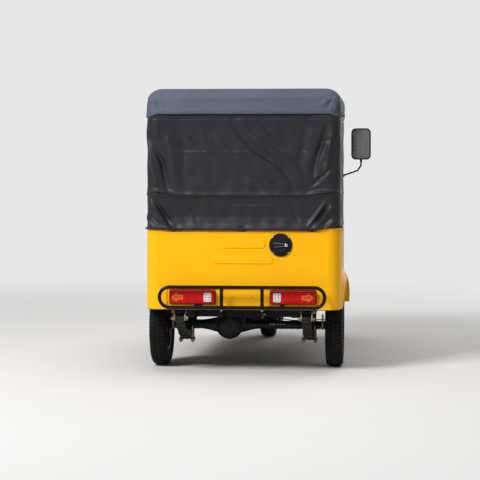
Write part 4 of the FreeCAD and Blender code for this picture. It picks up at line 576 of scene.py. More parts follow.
def curtain_drape(across, height, bottom):
    """How far the curtain stands out from its plan line."""
    half, hem_line = CURTAIN_HIGH.x, CURTAIN_LOW.z
    size = np.abs(across)
    dip = sum(bell(across - x, 0.030) for x in FASTENER_X)
    ends = smoothstep(size, 0.44, 0.56)
    back = 1.0 - smoothstep(size, 0.40, half - 0.01)
    quarter = smoothstep(size, half + 0.10, half + 0.35) * (
        1.0 - smoothstep(size, CURTAIN_REACH - 0.20, CURTAIN_REACH))
    span = back + 0.6 * quarter
    above = np.clip((height - BOW_HEIGHT) / (HEADER_HEIGHT - BOW_HEIGHT), 0.0, 1.0)
    below = np.clip((BOW_HEIGHT - height) / (BOW_HEIGHT - hem_line - 0.02), 0.0, 1.0)
    # Hollow between header and bow, and between bow and hem, with a ridge over the bow
    out = -0.017 * span * above ** 0.75 * (1.0 - 0.35 * smoothstep(above, 0.85, 1.0))
    out -= 0.013 * span * smoothstep(below, 0.0, 0.16) * (1.0 - smoothstep(below, 0.60, 1.0))
    out += 0.0035 * bell(np.maximum(height - BOW_HEIGHT, 0.0), 0.016) * (
        1.0 - smoothstep(BOW_HEIGHT - height, 0.0, 0.008))
    # Hem that stands off between the buttons, header seam and the hem's doubled edge
    hem = 1.0 - smoothstep(height, hem_line + 0.016, hem_line + 0.050)
    out += hem * (0.008 * (1.0 - np.clip(dip, 0.0, 1.0)) * (1.0 - ends) + 0.0015)
    out += 0.0022 * smoothstep(height, HEADER_HEIGHT - 0.002, HEADER_HEIGHT + 0.001)
    out -= 0.0014 * bell(height - HEADER_HEIGHT + 0.0035, 0.0035)
    out += 0.0010 * (1.0 - smoothstep(height, bottom + 0.022, bottom + 0.024))
    # Folds, held back where they would press the cloth into the tub or the corners
    folds = CURTAIN_FOLD_STRENGTH * fold_field(across, height, CURTAIN_FOLDS)
    inward = smoothstep(height, 0.915, 0.975) * (1.0 - 0.85 * smoothstep(size, 0.50, 0.60))
    out += np.where(folds < 0.0, folds * inward, folds)
    ripple = np.sin(across * 61.0 + 1.7 * np.sin(height * 9.0)) * np.sin(height * 17.0 + across * 5.0)
    return out + 0.0011 * ripple + 0.0008 * np.sin(across * 23.0 - height * 31.0)


def add_cloth(mesh, node, flat, rests_on, **measures):
    """Object for a sheet of hood cloth that stands for a CAD node."""
    cloth = new_object(mesh, "root")
    solid = cloth.modifiers.new("thickness", "SOLIDIFY")
    solid.thickness = CLOTH
    solid.offset = -1.0
    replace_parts(cloth, node)


def rear_curtain():
    """Canvas round the back and the quarters, over the bow and buttoned at its hem."""
    low, high, seam = CURTAIN_LOW, CURTAIN_HIGH, HEADER_HEIGHT
    columns = bands((-CURTAIN_REACH, -0.74, 0.026), (-0.74, -0.60, 0.006), (-0.60, 0.60, 0.0049),
                    (0.60, 0.74, 0.006), (0.74, CURTAIN_REACH, 0.026))
    rows = bands((low.z, 0.915, 0.0035), (0.915, 1.098, 0.0052), (1.098, 1.135, 0.0033),
                 (1.135, seam - 0.012, 0.0064), (seam - 0.012, seam + 0.003, 0.0016),
                 (seam + 0.003, high.z, 0.012))
    across, share = np.meshgrid(columns, (rows - low.z) / (high.z - low.z))
    dip = sum(bell(across - x, 0.035) for x in FASTENER_X)
    ends = smoothstep(across, 0.44, 0.56) * 0.016 + smoothstep(-across, 0.44, 0.56) * 0.003
    bottom = low.z + 0.003 - 0.006 * dip + ends
    height = bottom + (high.z - bottom) * share
    out = curtain_drape(across, height, bottom)
    x, y, nx, ny = curtain_path(across)
    points = np.stack([x + nx * out, y + ny * out, height], axis=-1)
    mesh = grid_mesh("rear_curtain_cloth", points, CURTAIN_CLOTH)
    add_cloth(mesh, "rear_curtain", (2 * CURTAIN_REACH, high.z - low.z), ["hood_posts", "rear_body"])


ROOF_TOP_SAG = 0.010
ROOF_REAR_CREASE = 1.727
ROOF_ARC = 0.099
ROOF_REAR_CORNER = 0.084
ROOF_FRONT_CORNER = 0.030
BOW_PLACES = (-1.2175, -0.5225, -0.0895, 0.7605)


def roof_rings(low, high):
    """Rings up the valance: insets behind, at the side and in front, then the heights there."""
    top = high.z
    hem = low.z
    for t in bands((0.0, 0.12, 0.02), (0.12, 1.0, 0.046)):
        if t < 0.42:
            side_in, side_z = 0.0, hem + (top - ROOF_ARC - hem) * (t / 0.42)
        else:
            angle = (t - 0.42) / 0.58 * math.pi / 2
            side_in, side_z = ROOF_ARC * (1 - math.cos(angle)), top - ROOF_ARC + ROOF_ARC * math.sin(angle)
        stops = (0.0, 0.10, 0.52, 0.60, 1.0)
        rear_in = np.interp(t, stops, (0.0, 0.0, 0.022, 0.030, 0.097))
        rear_z = np.interp(t, stops, (hem, hem + 0.016, hem + 0.092, hem + 0.101, top))
        front_in = np.interp(t, (0.0, 0.5, 1.0), (0.0, 0.003, 0.050))
        front_z = np.interp(t, (0.0, 0.5, 1.0), (hem + 0.066, top - 0.030, top))
        yield (rear_in, side_in, front_in), (rear_z, side_z, front_z)


def ring_points(insets, heights, low, high, across, along, turn):
    """One closed ring of the roof, as four sides that start at the rear left corner's middle."""
    rear_in, side_in, front_in = insets
    rear_z, side_z, front_z = heights
    rear, front, half = low.y + rear_in, high.y - front_in, high.x - side_in
    corner = max(ROOF_REAR_CORNER - 0.8 * max(rear_in, side_in), 0.008)
    nose = max(ROOF_FRONT_CORNER - 0.6 * front_in, 0.006)
    start, end = rear + corner, front - nose
    quarter = math.pi / 4 / turn

    def width(y):
        share = min(max((y - TAPER_START) / (TAPER_END - TAPER_START), 0.0), 1.0)
        return half - TAPER * share

    def rear_arc(sign, step):
        s, c = math.sin(quarter * step), math.cos(quarter * step)
        return sign * (half - corner + corner * s), start - corner * c, rear_z + (side_z - rear_z) * s ** 2

    def front_arc(sign, step):
        s, c = math.sin(quarter * step), math.cos(quarter * step)
        return sign * (width(front) - nose + nose * c), end + nose * s, side_z + (front_z - side_z) * s ** 2

    def side(sign, shares):
        return [(sign * width(start + (end - start) * v), start + (end - start) * v, side_z) for v in shares]

    turned = range(1, 2 * turn)
    return ([rear_arc(-1, turn - i) for i in range(turn)]
            + [((half - corner) * u, rear, rear_z) for u in across]
            + [rear_arc(1, i) for i in turned] + side(1, along) + [front_arc(1, i) for i in turned]
            + [((width(front) - nose) * u, front, front_z) for u in across[::-1]]
            + [front_arc(-1, 2 * turn - i) for i in turned] + side(-1, along[::-1])
            + [rear_arc(-1, 2 * turn - i) for i in range(1, turn)])


def roof_canvas():
    """Roof cloth with its valance, as one sheet over the bows."""
    low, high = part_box("roof_cover")
    across = bands((-1.0, -0.78, 0.010), (-0.78, 0.78, 0.032), (0.78, 1.0, 0.010))
    along = bands((0.0, 0.06, 0.008), (0.06, 1.0, 0.0095))
    turn = 7
    rings = np.array([ring_points(*ring, low, high, across, along, turn) for ring in roof_rings(low, high)])
    count = rings.shape[1]
    side_x = len(across) - 1 + 2 * turn
    side_y = len(along) - 1 + 2 * turn
    # The top fills the last ring: a patch blended from the ring's four sides
    top = rings[-1]
    rear_side = top[:side_x + 1]
    right_side = top[side_x:side_x + side_y + 1]
    front_side = top[side_x + side_y:2 * side_x + side_y + 1][::-1]
    left_side = np.concatenate([top[2 * side_x + side_y:], top[:1]])[::-1]
    u = ((rear_side[:, 0] - rear_side[0, 0]) / (rear_side[-1, 0] - rear_side[0, 0]))[None, :, None]
    v = ((right_side[:, 1] - right_side[0, 1]) / (right_side[-1, 1] - right_side[0, 1]))[:, None, None]
    patch = ((1 - v) * rear_side[None] + v * front_side[None]
             + (1 - u) * left_side[:, None] + u * right_side[:, None]
             - (1 - u) * (1 - v) * rear_side[0] - u * (1 - v) * rear_side[-1]
             - (1 - u) * v * front_side[0] - u * v * front_side[-1])
    inner = patch[1:-1, 1:-1].copy()
    sag = np.zeros_like(inner[..., 1])
    for a, b in zip(BOW_PLACES, BOW_PLACES[1:]):
        inside = np.clip((inner[..., 1] - a) / (b - a), 0, 1)
        sag += np.sin(np.pi * inside) ** 2 * min(1.0, (b - a) / 0.7)
    edge = smoothstep(0.56 - np.abs(inner[..., 0]), 0.0, 0.28)
    inner[..., 2] -= ROOF_TOP_SAG * sag * edge
    vertices = np.concatenate([rings.reshape(-1, 3), inner.reshape(-1, 3)])
    # Numbers of the patch's points: its border is the last ring
    base = (len(rings) - 1) * count
    index = np.zeros((side_y + 1, side_x + 1), int)
    index[1:-1, 1:-1] = base + count + np.arange((side_y - 1) * (side_x - 1)).reshape(side_y - 1, side_x - 1)
    index[0] = base + np.arange(side_x + 1)
    index[-1] = base + side_x + side_y + np.arange(side_x, -1, -1)
    index[1:-1, -1] = base + side_x + np.arange(1, side_y)
    index[1:-1, 0] = base + (2 * side_x + side_y + np.arange(side_y - 1, 0, -1)) % count
    index = index.tolist()
    faces = []
    for r in range(0, base, count):
        for c in range(count):
            d = (c + 1) % count
            faces.append((r + c, r + d, r + count + d, r + count + c))
    for j in range(side_y):
        for i in range(side_x):
            faces.append((index[j][i], index[j][i + 1], index[j + 1][i + 1], index[j + 1][i]))
    mesh = new_mesh("roof_cloth", vertices.tolist(), faces, [ROOF_CLOTH_AND_SKY_SHEEN])
    shape_roof(mesh, low, high)
    rise = high.z - low.z
    area = sum(p.area for p in mesh.polygons)
    add_cloth(mesh, "roof_cover", (2 * high.x + 2 * rise, high.y - low.y + 2 * rise),
              ["hood_bows", "hood_posts"], area=area)


def shape_roof(mesh, low, high):
    """Puckers at the rear corners and a rolled hem, pushed along the surface's normals."""
    place = vertex_rows(mesh)
    normal = vertex_rows(mesh, "normal")
    behind = 1.0 - smoothstep(place[:, 1], low.y + 0.10, low.y + 0.20)
    out = ROOF_FOLD_STRENGTH * fold_field(place[:, 0], place[:, 2], ROOF_FOLDS) * behind
    drop = ROOF_REAR_CREASE - place[:, 2]
    out -= 0.0045 * behind * smoothstep(drop, 0.0, 0.012) * (1.0 - smoothstep(drop, 0.02, 0.095))
    side = (1.0 - behind) * (place[:, 2] < high.z - 0.012)
    out += side * 0.0022 * np.sin(place[:, 1] * 13.0) * np.sin(place[:, 1] * 7.3 + 1.0)
    out += 0.0012 * (1.0 - smoothstep(place[:, 2], low.z + 0.020, low.z + 0.023))
    place += normal * out[:, None]
    # The valance hangs lower round the rear corners
    corner = smoothstep(np.abs(place[:, 0]), 0.535, 0.600)
    corner *= 1.0 - smoothstep(place[:, 1], low.y + 0.06, low.y + 0.26)
    place[:, 2] -= 0.018 * corner * (1.0 - smoothstep(place[:, 2], low.z, low.z + 0.075))
    set_places(mesh, place)


TREAD_PITCHES, TREAD_STEPS, TREAD_COLUMNS = 60, 10, 43
RIM_SEAT = 0.1525


def tyre(node):
    """Tyre with ribs, slanting shoulder lugs and a ringed side wall."""
    low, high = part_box(node)
    centre = (low + high) / 2
    crown = (high.z - low.z) / 2
    half = (high.x - low.x) / 2
    shoulder_x, shoulder_r = half - 0.005, crown - 0.013
    # Cross section: (distance from the middle, radius, share of tread pattern)
    tread = [(t * shoulder_x, crown - (crown - shoulder_r) * abs(t) ** 3.2, 1.0)
             for t in np.linspace(-1.0, 1.0, TREAD_COLUMNS)]
    wall = [(half - 0.0012, crown - 0.022), (half, crown - 0.036), (half, crown - 0.058),
            (half - 0.003, crown - 0.070), (half - 0.0065, crown - 0.080), (half - 0.0075, crown - 0.081),
            (half - 0.0105, crown - 0.090), (half - 0.0135, crown - 0.096), (half - 0.0166, crown - 0.1),
            (0.0372, RIM_SEAT), (0.024, RIM_SEAT)]
    rows = np.array([(-x, r, 0.0) for x, r in reversed(wall)] + tread + [(x, r, 0.0) for x, r in wall])
    x, r, active = (rows[:, k][:, None] for k in range(3))
    around = np.linspace(0.0, 2 * math.pi, TREAD_PITCHES * TREAD_STEPS, endpoint=False)
    phase = around[None, :] * TREAD_PITCHES / (2 * math.pi)
    zigzag = np.abs((phase % 1.0) * 2 - 1) * 0.006 - 0.003
    size = np.abs(x)
    rib = smoothstep(np.abs(size - 0.012 - zigzag * np.sign(x)), 0.0035, 0.0015)
    slant = (phase + size * 17.0 + np.where(x > 0, 0.5, 0.0)) % 1.0
    shoulder = smoothstep(np.abs(slant - 0.5), 0.20, 0.14)
    lug = shoulder * smoothstep(size, 0.018, 0.023)
    sipe = smoothstep(np.abs((phase * 2 + size * 24.0) % 1.0 - 0.5), 0.06, 0.03) * (size < 0.009)
    depth = np.maximum(np.maximum(rib * 0.0055, lug * 0.0080), sipe * 0.0015) * active
    radius = r - depth * np.where(size > half - 0.006, 0.8, 1.0)
    flank = shoulder * (1 - active) * smoothstep(r, crown - 0.045, crown - 0.030)
    points = np.stack([
        centre.x + x - np.sign(x) * flank * 0.003,
        centre.y + radius * np.cos(around)[None, :],
        centre.z + radius * np.sin(around)[None, :]], axis=-1)
    points = np.concatenate([points, points[:, :1]], axis=1)
    points = np.concatenate([points, points[:1]], axis=0)
    mesh = grid_mesh(node + "_treaded", points, RUBBER)
    face_outwards(mesh, 50, weld=1e-6)
    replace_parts(new_object(mesh, frame["nodes"][node]["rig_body"]), node)


def tyres():
    for node in ("front_tyre", "rear_tyre_right", "rear_tyre_left"):
        tyre(node)


# Padding in millimetres on the drawing's axes. A pad's own axes start at its lower rear edge.
PADS = (
    # node, lower rear middle, (width, depth, height), lean, face axis, channels, voxel, travel
    ("rear_seat_cushion", (0.0, -1082.0, 640.3), (1184.0, 454.0, 111.7), 0.0, 2, 6, 12.0, 24.0),
    ("rear_seat_back", (0.0, -1168.0, 756.0), (1160.0, 86.0, 400.0), 7.0, 1, 6, 11.5, 22.0),
    ("driver_seat_cushion", (0.0, -70.0, 690.3), (600.0, 470.0, 79.7), 0.0, 2, 4, 9.5, 22.0),
    ("driver_seat_back", (0.0, -99.2, 800.0), (540.0, 60.0, 210.0), 0.0, 1, 4, 8.0, 18.0),
)
CHANNEL_DEPTH = 0.0075
CHANNEL_WIDTH = 0.0085
FACE_RISE = 0.006
SIDE_RISE = 0.002
PIPING_RADIUS = 0.0042
CLOTH_FRAMES = 20


def evaluated(obj):
    """Mesh of an object with its modifiers, as a copy of its own."""
    graph = bpy.context.evaluated_depsgraph_get()
    return bpy.data.meshes.new_from_object(obj.evaluated_get(graph))


def with_modifier(mesh, kind, **settings):
    """Copy of a mesh after one modifier."""
    obj = scratch_object(mesh)
    modifier = obj.modifiers.new("made", kind)
    for key, value in settings.items():
        setattr(modifier, key, value)
    made = evaluated(obj)
    bpy.data.objects.remove(obj)
    return made


def scratch_object(mesh):
    obj = bpy.data.objects.new("scratch", mesh)
    bpy.context.scene.collection.objects.link(obj)
    return obj


def pad_blank(size, inset, voxel):
    """Rounded block, smaller than the pad, as an even net of small faces."""
    bm = bmesh.new()
    bmesh.ops.create_cube(bm, size=1.0)
    for vert in bm.verts:
        vert.co.x *= size[0] - 2 * inset
        vert.co.y = size[1] / 2 + vert.co.y * (size[1] - 2 * inset)
        vert.co.z = size[2] / 2 + vert.co.z * (size[2] - 2 * inset)
    rounding = 0.30 * (min(size) - 2 * inset)
    bmesh.ops.bevel(bm, geom=bm.edges[:], offset=rounding, segments=4, profile=0.5, affect="EDGES")
    mesh = bpy.data.meshes.new("pad_blank")
    bm.to_mesh(mesh)
    bm.free()
    return with_modifier(mesh, "REMESH", mode="VOXEL", voxel_size=voxel)


def inflate(mesh, travel):
    """Fill a cover from inside with a cloth simulation; no point moves further than the travel."""
    start = vertex_rows(mesh)
    obj = scratch_object(mesh)
    cloth = obj.modifiers.new("cover", "CLOTH")
    cloth.settings.quality = 5
    cloth.settings.mass = 0.3
    cloth.settings.tension_stiffness = 15.0
    cloth.settings.compression_stiffness = 15.0
    cloth.settings.shear_stiffness = 5.0
    cloth.settings.use_pressure = True
    cloth.settings.uniform_pressure_force = 4.0
    cloth.settings.effector_weights.gravity = 0.0
    cloth.collision_settings.use_collision = False
    cloth.point_cache.frame_start = 1
    cloth.point_cache.frame_end = CLOTH_FRAMES
    scene = bpy.context.scene
    for step in range(1, CLOTH_FRAMES + 1):
        scene.frame_set(step)
    moved = vertex_rows(evaluated(obj)) - start
    bpy.data.objects.remove(obj)
    scene.frame_set(1)
    length = np.linalg.norm(moved, axis=1, keepdims=True)
    return start + moved * np.minimum(1.0, travel / np.maximum(length, 1e-9))


def leaning(y, z, turn):
    """A point's depth and height after the pad leans back."""
    return y * math.cos(turn) - z * math.sin(turn), y * math.sin(turn) + z * math.cos(turn)


def pad(node, origin, size, lean, face, channels, voxel, travel):
    """Stuffed seat pad with sewn channels and piping."""
    size = tuple(part * 0.001 for part in size)
    travel *= 0.001
    reach = np.array(size) / 2
    middle = np.array((0.0, size[1] / 2, size[2] / 2))
    blank = pad_blank(size, travel * 0.55, voxel * 0.001)
    set_places(blank, inflate(blank, travel))
    mesh = with_modifier(blank, "SUBSURF", levels=1)
    # Fit the swollen cover to the pad's own box, with its face a little proud
    place = vertex_rows(mesh)
    low, high = middle - reach - SIDE_RISE, middle + reach + SIDE_RISE
    high[face] += FACE_RISE - SIDE_RISE
    low[2] = 0.0
    low[1] = max(low[1], 0.0) if face == 1 else low[1]
    grow = 2 * reach / (place.max(axis=0) - place.min(axis=0))
    centre = (place.max(axis=0) + place.min(axis=0)) / 2
    place = middle + (place - centre) * np.where(np.arange(3) == face, grow * 1.06, grow)
    place = np.clip(place, low, high)
    set_places(mesh, place)
    # Sew the channels into the face
    normal = vertex_rows(mesh, "normal")
    outward = smoothstep(normal[:, face], 0.15, 0.75)
    pitch = size[0] / channels
    offset = place[:, 0] - np.round(place[:, 0] / pitch) * pitch
    offset = np.where(np.abs(place[:, 0]) > size[0] / 2 - 0.5 * pitch, pitch, offset)
    groove = bell(offset, CHANNEL_WIDTH)
    crease = 0.0016 * np.sin(place[:, 0] * 47.0 + place[:, 1] * 19.0)
    crease *= np.sin(place[:, 3 - face] * 33.0 + 1.0)
    place = place + normal * ((crease - CHANNEL_DEPTH * groove) * outward)[:, None]
    turn = math.radians(lean)
    start = np.array(place_mm(origin))
    place = np.stack([place[:, 0], *leaning(place[:, 1], place[:, 2], turn)], axis=1) + start
    set_places(mesh, place)
    mesh.polygons.foreach_set("use_smooth", [True] * len(mesh.polygons))
    mesh.materials.clear()
    mesh.materials.append(VINYL)
    mesh.name = node + "_pad"
    cushion = new_object(mesh, "root")
    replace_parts(cushion, node)
    piping(node, place, mesh, start, size, turn, face)


def piping(node, place, mesh, start, size, turn, face):
    """Welt sewn round the edge of the pad's face, laid on the swollen cover."""
    tree = BVHTree.FromPolygons(place.tolist(), [tuple(p.vertices) for p in mesh.polygons])
    other = 3 - face
    half_x, half_o = size[0] / 2, size[other] / 2
    corner = min(0.05, half_o * 0.6)
    loop = []
    for sx, so in ((1, 1), (-1, 1), (-1, -1), (1, -1)):
        for step in range(7):
            angle = math.pi / 2 * step / 6
            c, s = math.cos(angle), math.sin(angle)
            if sx * so < 0:
                c, s = s, c
            loop.append((sx * (half_x - corner + corner * c), so * (half_o - corner + corner * s)))
    path = []
    for (ax, ao), (bx, bo) in zip(loop, loop[1:] + loop[:1]):
        count = max(1, int(math.hypot(bx - ax, bo - ao) / 0.022))
        path += [(ax + (bx - ax) * i / count, ao + (bo - ao) * i / count) for i in range(count)]
    points = []
    for px, po in path:
        target = Vector((px * 0.90, 0.0, 0.0))
        target[face] = size[face] * 0.62
        target[other] = half_o + po * 0.80
        outward = Vector((px / half_x, 0.0, 0.0))
        outward[other] = po / half_o
        outward.normalize()
        outward[face] = 0.85
        outward.normalize()
        aim, outward = (Vector((v.x, *leaning(v.y, v.z, turn))) for v in (target, outward))
        hit = tree.ray_cast(aim + Vector(start) + outward * 0.4, -outward)[0]
        if hit is not None:
            points.append(hit)
    vertices, faces = sweep(points, PIPING_RADIUS, 8, closed=True)
    new_object(new_mesh(node + "_piping", vertices, faces, [PIPING]), "root")


def pads():
    for row in PADS:
        pad(*row)


def place_mm(point):
    """Scene place of a point in millimetres on the drawing's axes."""
    return point[0] * 0.001, (point[1] + DRAWING_SHIFT) * 0.001, point[2] * 0.001


def skin(count, rings, looped=False, shift=0):
    """Faces between rings of points, capped at the ends or looped back to the first ring."""
    faces = []
    for here in range(rings if looped else rings - 1):
        there = (here + 1) % rings
        turn = shift if there == 0 else 0
        for a in range(count):
            b = (a + 1) % count
            faces.append((here * count + a, here * count + b,
                          there * count + (b + turn) % count, there * count + (a + turn) % count))
    if not looped:
        faces += [tuple(reversed(range(count))), tuple(range((rings - 1) * count, rings * count))]
    return faces


def merged(*parts):
    """Several parts as one."""
    vertices, faces = [], []
    for part_vertices, part_faces in parts:
        start = len(vertices)
        vertices += part_vertices
        faces += [tuple(start + i for i in face) for face in part_faces]
    return vertices, faces


def mirrored(part):
    """A part on the other side of the vehicle."""
    vertices, faces = part
    return [Vector((-v[0], v[1], v[2])) for v in vertices], [tuple(reversed(f)) for f in faces]


def lathe(profile, origin, axis, steps, phase=0.0):
    """Turned part from (radius, height along the axis) points."""
    turn = Vector(axis).to_track_quat("Z", "Y")
    start = Vector(origin)
    vertices = []
    for radius, height in profile:
        for step in range(steps):
            angle = phase + 2 * math.pi * step / steps
            spoke = Vector((radius * math.cos(angle), radius * math.sin(angle), height))
            vertices.append(start + turn @ spoke)
    return vertices, skin(steps, len(profile))


def ring(major, minor, origin, axis, steps, sides):
    """Round bead bent into a circle."""
    turn = Vector(axis).to_track_quat("Z", "Y")
    angles = [2 * math.pi * i / steps for i in range(steps)]
    path = [Vector(origin) + turn @ Vector((major * math.cos(a), major * math.sin(a), 0.0)) for a in angles]
    return sweep(path, minor, sides, closed=True)


def nut(origin, axis, size, height, stud=0.0):
    """Hexagon with a washer below and, if asked, a stud's end above."""
    washer = lathe([(size * 1.15, 0), (size * 1.15, 1.4), (size * 1.05, 1.8)], origin, axis, 18)
    top = height + 1.6
    head = lathe([(size, 1.6), (size, top - 1.2), (size * 0.86, top)], origin, axis, 6, random.random())
    parts = [washer, head]
    if stud:
        radius = size * 0.5
        profile = [(radius, top - 1), (radius, top + stud - 1), (radius * 0.7, top + stud)]
        parts.append(lathe(profile, origin, axis, 12))
    return merged(*parts)


def sweep(path, radius, sides=8, closed=False):
    """Round bar along a path, with one radius or a radius for each point."""
    points = [Vector(p) for p in path]
    count = len(points)
    radii = radius if isinstance(radius, (list, tuple)) else [radius] * count
    vertices = []
    normal = None
    for index, point in enumerate(points):
        if closed:
            ahead, behind = points[(index + 1) % count], points[index - 1]
        else:
            ahead, behind = points[min(index + 1, count - 1)], points[max(index - 1, 0)]
        along = (ahead - behind).normalized()
        if normal is None:
            normal = along.orthogonal().normalized()
        normal = (normal - along * normal.dot(along)).normalized()
        other = along.cross(normal)
        for side in range(sides):
            angle = 2 * math.pi * side / sides
            vertices.append(point + (normal * math.cos(angle) + other * math.sin(angle)) * radii[index])
    shift = 0
    if closed:
        reach = [(vertices[-sides] - v).length for v in vertices[:sides]]
        shift = reach.index(min(reach))
    return vertices, skin(sides, count, closed, shift)


def curved(points, steps=6):
    """Smooth path through the points."""
    points = [Vector(p) for p in points]
    ends = [2 * points[0] - points[1]] + points + [2 * points[-1] - points[-2]]
    path = []
    for i in range(len(points) - 1):
        p0, p1, p2, p3 = ends[i:i + 4]
        for step in range(steps):
            t = step / steps
            path.append(0.5 * ((2 * p1) + (p2 - p0) * t + (2 * p0 - 5 * p1 + 4 * p2 - p3) * t * t
                               + (3 * p1 - p0 - 3 * p2 + p3) * t ** 3))
    path.append(points[-1])
    return path


def grown(outline, amount):
    """Outline moved outwards, or inwards for a negative amount; it runs anticlockwise."""
    moved = []
    count = len(outline)
    for index in range(count):
        before, here, after = (Vector(outline[(index + k) % count]) for k in (-1, 0, 1))
        first, second = (here - before).normalized(), (after - here).normalized()
        n1, n2 = Vector((first.y, -first.x)), Vector((second.y, -second.x))
        middle = (n1 + n2).normalized()
        moved.append(tuple(here + middle * (amount / max(0.35, middle.dot(n1)))))
    return moved


def rounded(width, height, radius, centre=(0.0, 0.0), steps=4):
    """Anticlockwise outline of a rectangle with round corners."""
    outline = []
    for cx, cy, start in ((1, -1, -90), (1, 1, 0), (-1, 1, 90), (-1, -1, 180)):
        for step in range(steps + 1):
            angle = math.radians(start + 90 * step / steps)
            outline.append((centre[0] + cx * (width / 2 - radius) + radius * math.cos(angle),
                            centre[1] + cy * (height / 2 - radius) + radius * math.sin(angle)))
    return outline


def layered(layers, origin, axes):
    """Points of flat (outline, rise) layers in two axes, raised along their cross product."""
    u, v = Vector(axes[0]), Vector(axes[1])
    out, base = u.cross(v), Vector(origin)
    return [base + u * p[0] + v * p[1] + out * rise for outline, rise in layers for p in outline]


def plate(outline, origin, axes, depth, bevel):
    """Raised outline with a soft edge."""
    layers = [(outline, 0.0), (outline, depth - bevel), (grown(outline, -bevel), depth)]
    return layered(layers, origin, axes), skin(len(outline), 3)


def frame_plate(outline, width, origin, axes, depth):
    """Flat band that follows an outline, its inner edge a width inside."""
    inner = grown(outline, -width)
    layers = [(outline, 0.0), (outline, depth), (inner, depth), (inner, 0.0)]
    return layered(layers, origin, axes), skin(len(outline), 4, looped=True)


def block(low, high, bevel):
    """Box with softened edges."""
    width, depth, height = (b - a for a, b in zip(low, high))
    outline = rounded(width, height, min(bevel, width / 2.2, height / 2.2),
                      ((low[0] + high[0]) / 2, (low[2] + high[2]) / 2), 2)
    return plate(outline, (0, high[1], 0), FACE_BACK, depth, min(bevel, depth / 3))


def build(name, parts, body="root"):
    """One object from (finish, part) pairs given in millimetres."""
    finishes, vertices, faces, marks = [], [], [], []
    for finish, (part_vertices, part_faces) in parts:
        if finish not in finishes:
            finishes.append(finish)
        start = len(vertices)
        vertices += [place_mm(v) for v in part_vertices]
        faces += [tuple(start + i for i in face) for face in part_faces]
        marks += [finishes.index(finish)] * len(part_faces)
    mesh = new_mesh(name, vertices, faces, finishes)
    mesh.polygons.foreach_set("material_index", marks)
    face_outwards(mesh, 38)
    new_object(mesh, body)


# Directions, and the axes of flat parts that face backwards or up
UP, DOWN, BEHIND, AHEAD = (0, 0, 1), (0, 0, -1), (0, -1, 0), (0, 1, 0)
FACE_BACK = (1, 0, 0), UP
FACE_UP = (1, 0, 0), AHEAD


def tail_lamp_trim(inner, outer):
    """Trim of the right tail lamp, with a boot below it from the inner to the outer side."""
    middle, height = 317, 477
    face, seat = -1372.0, -1335.5
    tail, tip = 373.5, 444.5
    neck = tip - 32
    arrow = [(tail, -14), (neck, -14), (neck, -27), (tip, 0), (neck, 27), (neck, 14), (tail, 14)]
    arrow = [(x, z + height) for x, z in arrow]
    base, front = (0, face - 1.2, 0), (0, face + 0.5, 0)
    gasket, rim = rounded(289, 86, 10, (middle, height)), rounded(275, 72, 8, (middle, height))
    yield BLACK_PLASTIC, sweep([(x, seat, z) for x, z in gasket], 3.0, closed=True)
    yield DARK_RED, sweep([(x, face + 1.0, z) for x, z in rim], 2.2, closed=True)
    yield ORANGE_LENS, frame_plate(grown(arrow, 0.8), 5.6, base, FACE_BACK, 2.0)
    yield RED_LENS, plate(rounded(96, 4, 1.5, (310, 456)), front, FACE_BACK, 2.4, 0.6)
    yield DARK_RED, plate(rounded(96, 2.6, 1.0, (310, 450.5)), front, FACE_BACK, 1.4, 0.4)
    yield WHITE_LENS, plate(rounded(48, 57, 8, (218.5, height)), base, FACE_BACK, 2.4, 0.9)
    for step in range(9):
        x = tail + 8 + 7.2 * step
        rise = 11.0 if x < neck - 6 else min(24.0, 24.0 * (tip - 7 - x) / 32)
        if rise > 3:
            corners = ((-3.4, -rise), (-0.6, -rise), (3.4, rise), (0.6, rise))
            bar = [(x + across, height + up) for across, up in corners]
            yield ORANGE_LENS, plate(bar, base, FACE_BACK, 1.6, 0.3)
    for column in range(5):
        for row in range(4):
            spot = (273 + 18.6 * column, face + 0.6, 465 + 12.6 * row)
            yield DARK_RED, lathe([(3.5, 0), (3.5, 1.0), (2.2, 1.9), (0.3, 2.2)], spot, BEHIND, 8)
    for column in range(2):
        for row in range(3):
            spot = (207.5 + 22 * column, face - 3.0, 460 + 17 * row)
            yield LED_GREY, lathe([(5.2, 0), (5.0, 1.0), (3.4, 1.7), (0.3, 2.0)], spot, BEHIND, 14)
    yield BLACK_PLASTIC, block((inner, -1366, 421), (outer, -1338, 436), 3)
    lead = [(inner + 14, -1350, 423), (inner + 10, -1330, 412), (inner - 6, -1290, 404)]
    yield BLACK_PLASTIC, sweep(curved(lead), 4.0)


def filler_trim():
    """Rings, keyhole and screws on the filler cap, and pale grey bars along the lid's grip edges that are
    painted highlights.
    """
    x, y, z = 239.0, -1340.0, 805.0
    lock = x + 36
    yield BLACK, ring(70.6, 1.3, (x, y - 6.6, z), BEHIND, 56, 6)
    yield BLACK_PLASTIC, ring(53.2, 1.8, (x, y - 8.2, z), BEHIND, 48, 6)
    yield CHROME, lathe([(9.0, 0), (9.0, 1.4), (7.6, 2.4), (0.4, 2.4)], (lock, y - 29.6, z), BEHIND, 24)
    yield BLACK_PLASTIC, block((lock - 1.3, y - 32.4, z - 4.4), (lock + 1.3, y - 31.2, z + 4.4), 0.5)
    yield STEEL, lathe([(2.0, 0), (2.0, 0.5), (0.4, 0.5)], (lock, y - 32.0, z + 3.4), BEHIND, 10)
    for i in (-1, 1):
        for j in (-1, 1):
            screw = [(4.6, 0), (4.6, 0.9), (3.2, 2.0), (0.3, 2.4)]
            yield STEEL, lathe(screw, (x + 49 * i, y - 8.6, z + 49 * j), BEHIND, 14)
    # Painted highlights: thin pale grey bars along the top and bottom edges of the black grip
    for rise in (-11.6, 11.6):
        edge = [(x - 42, y - 26.4, z + rise * 1.1), (x + 30, y - 26.4, z + rise * 0.62)]
        yield LED_GREY, sweep(edge, 0.9, 6)


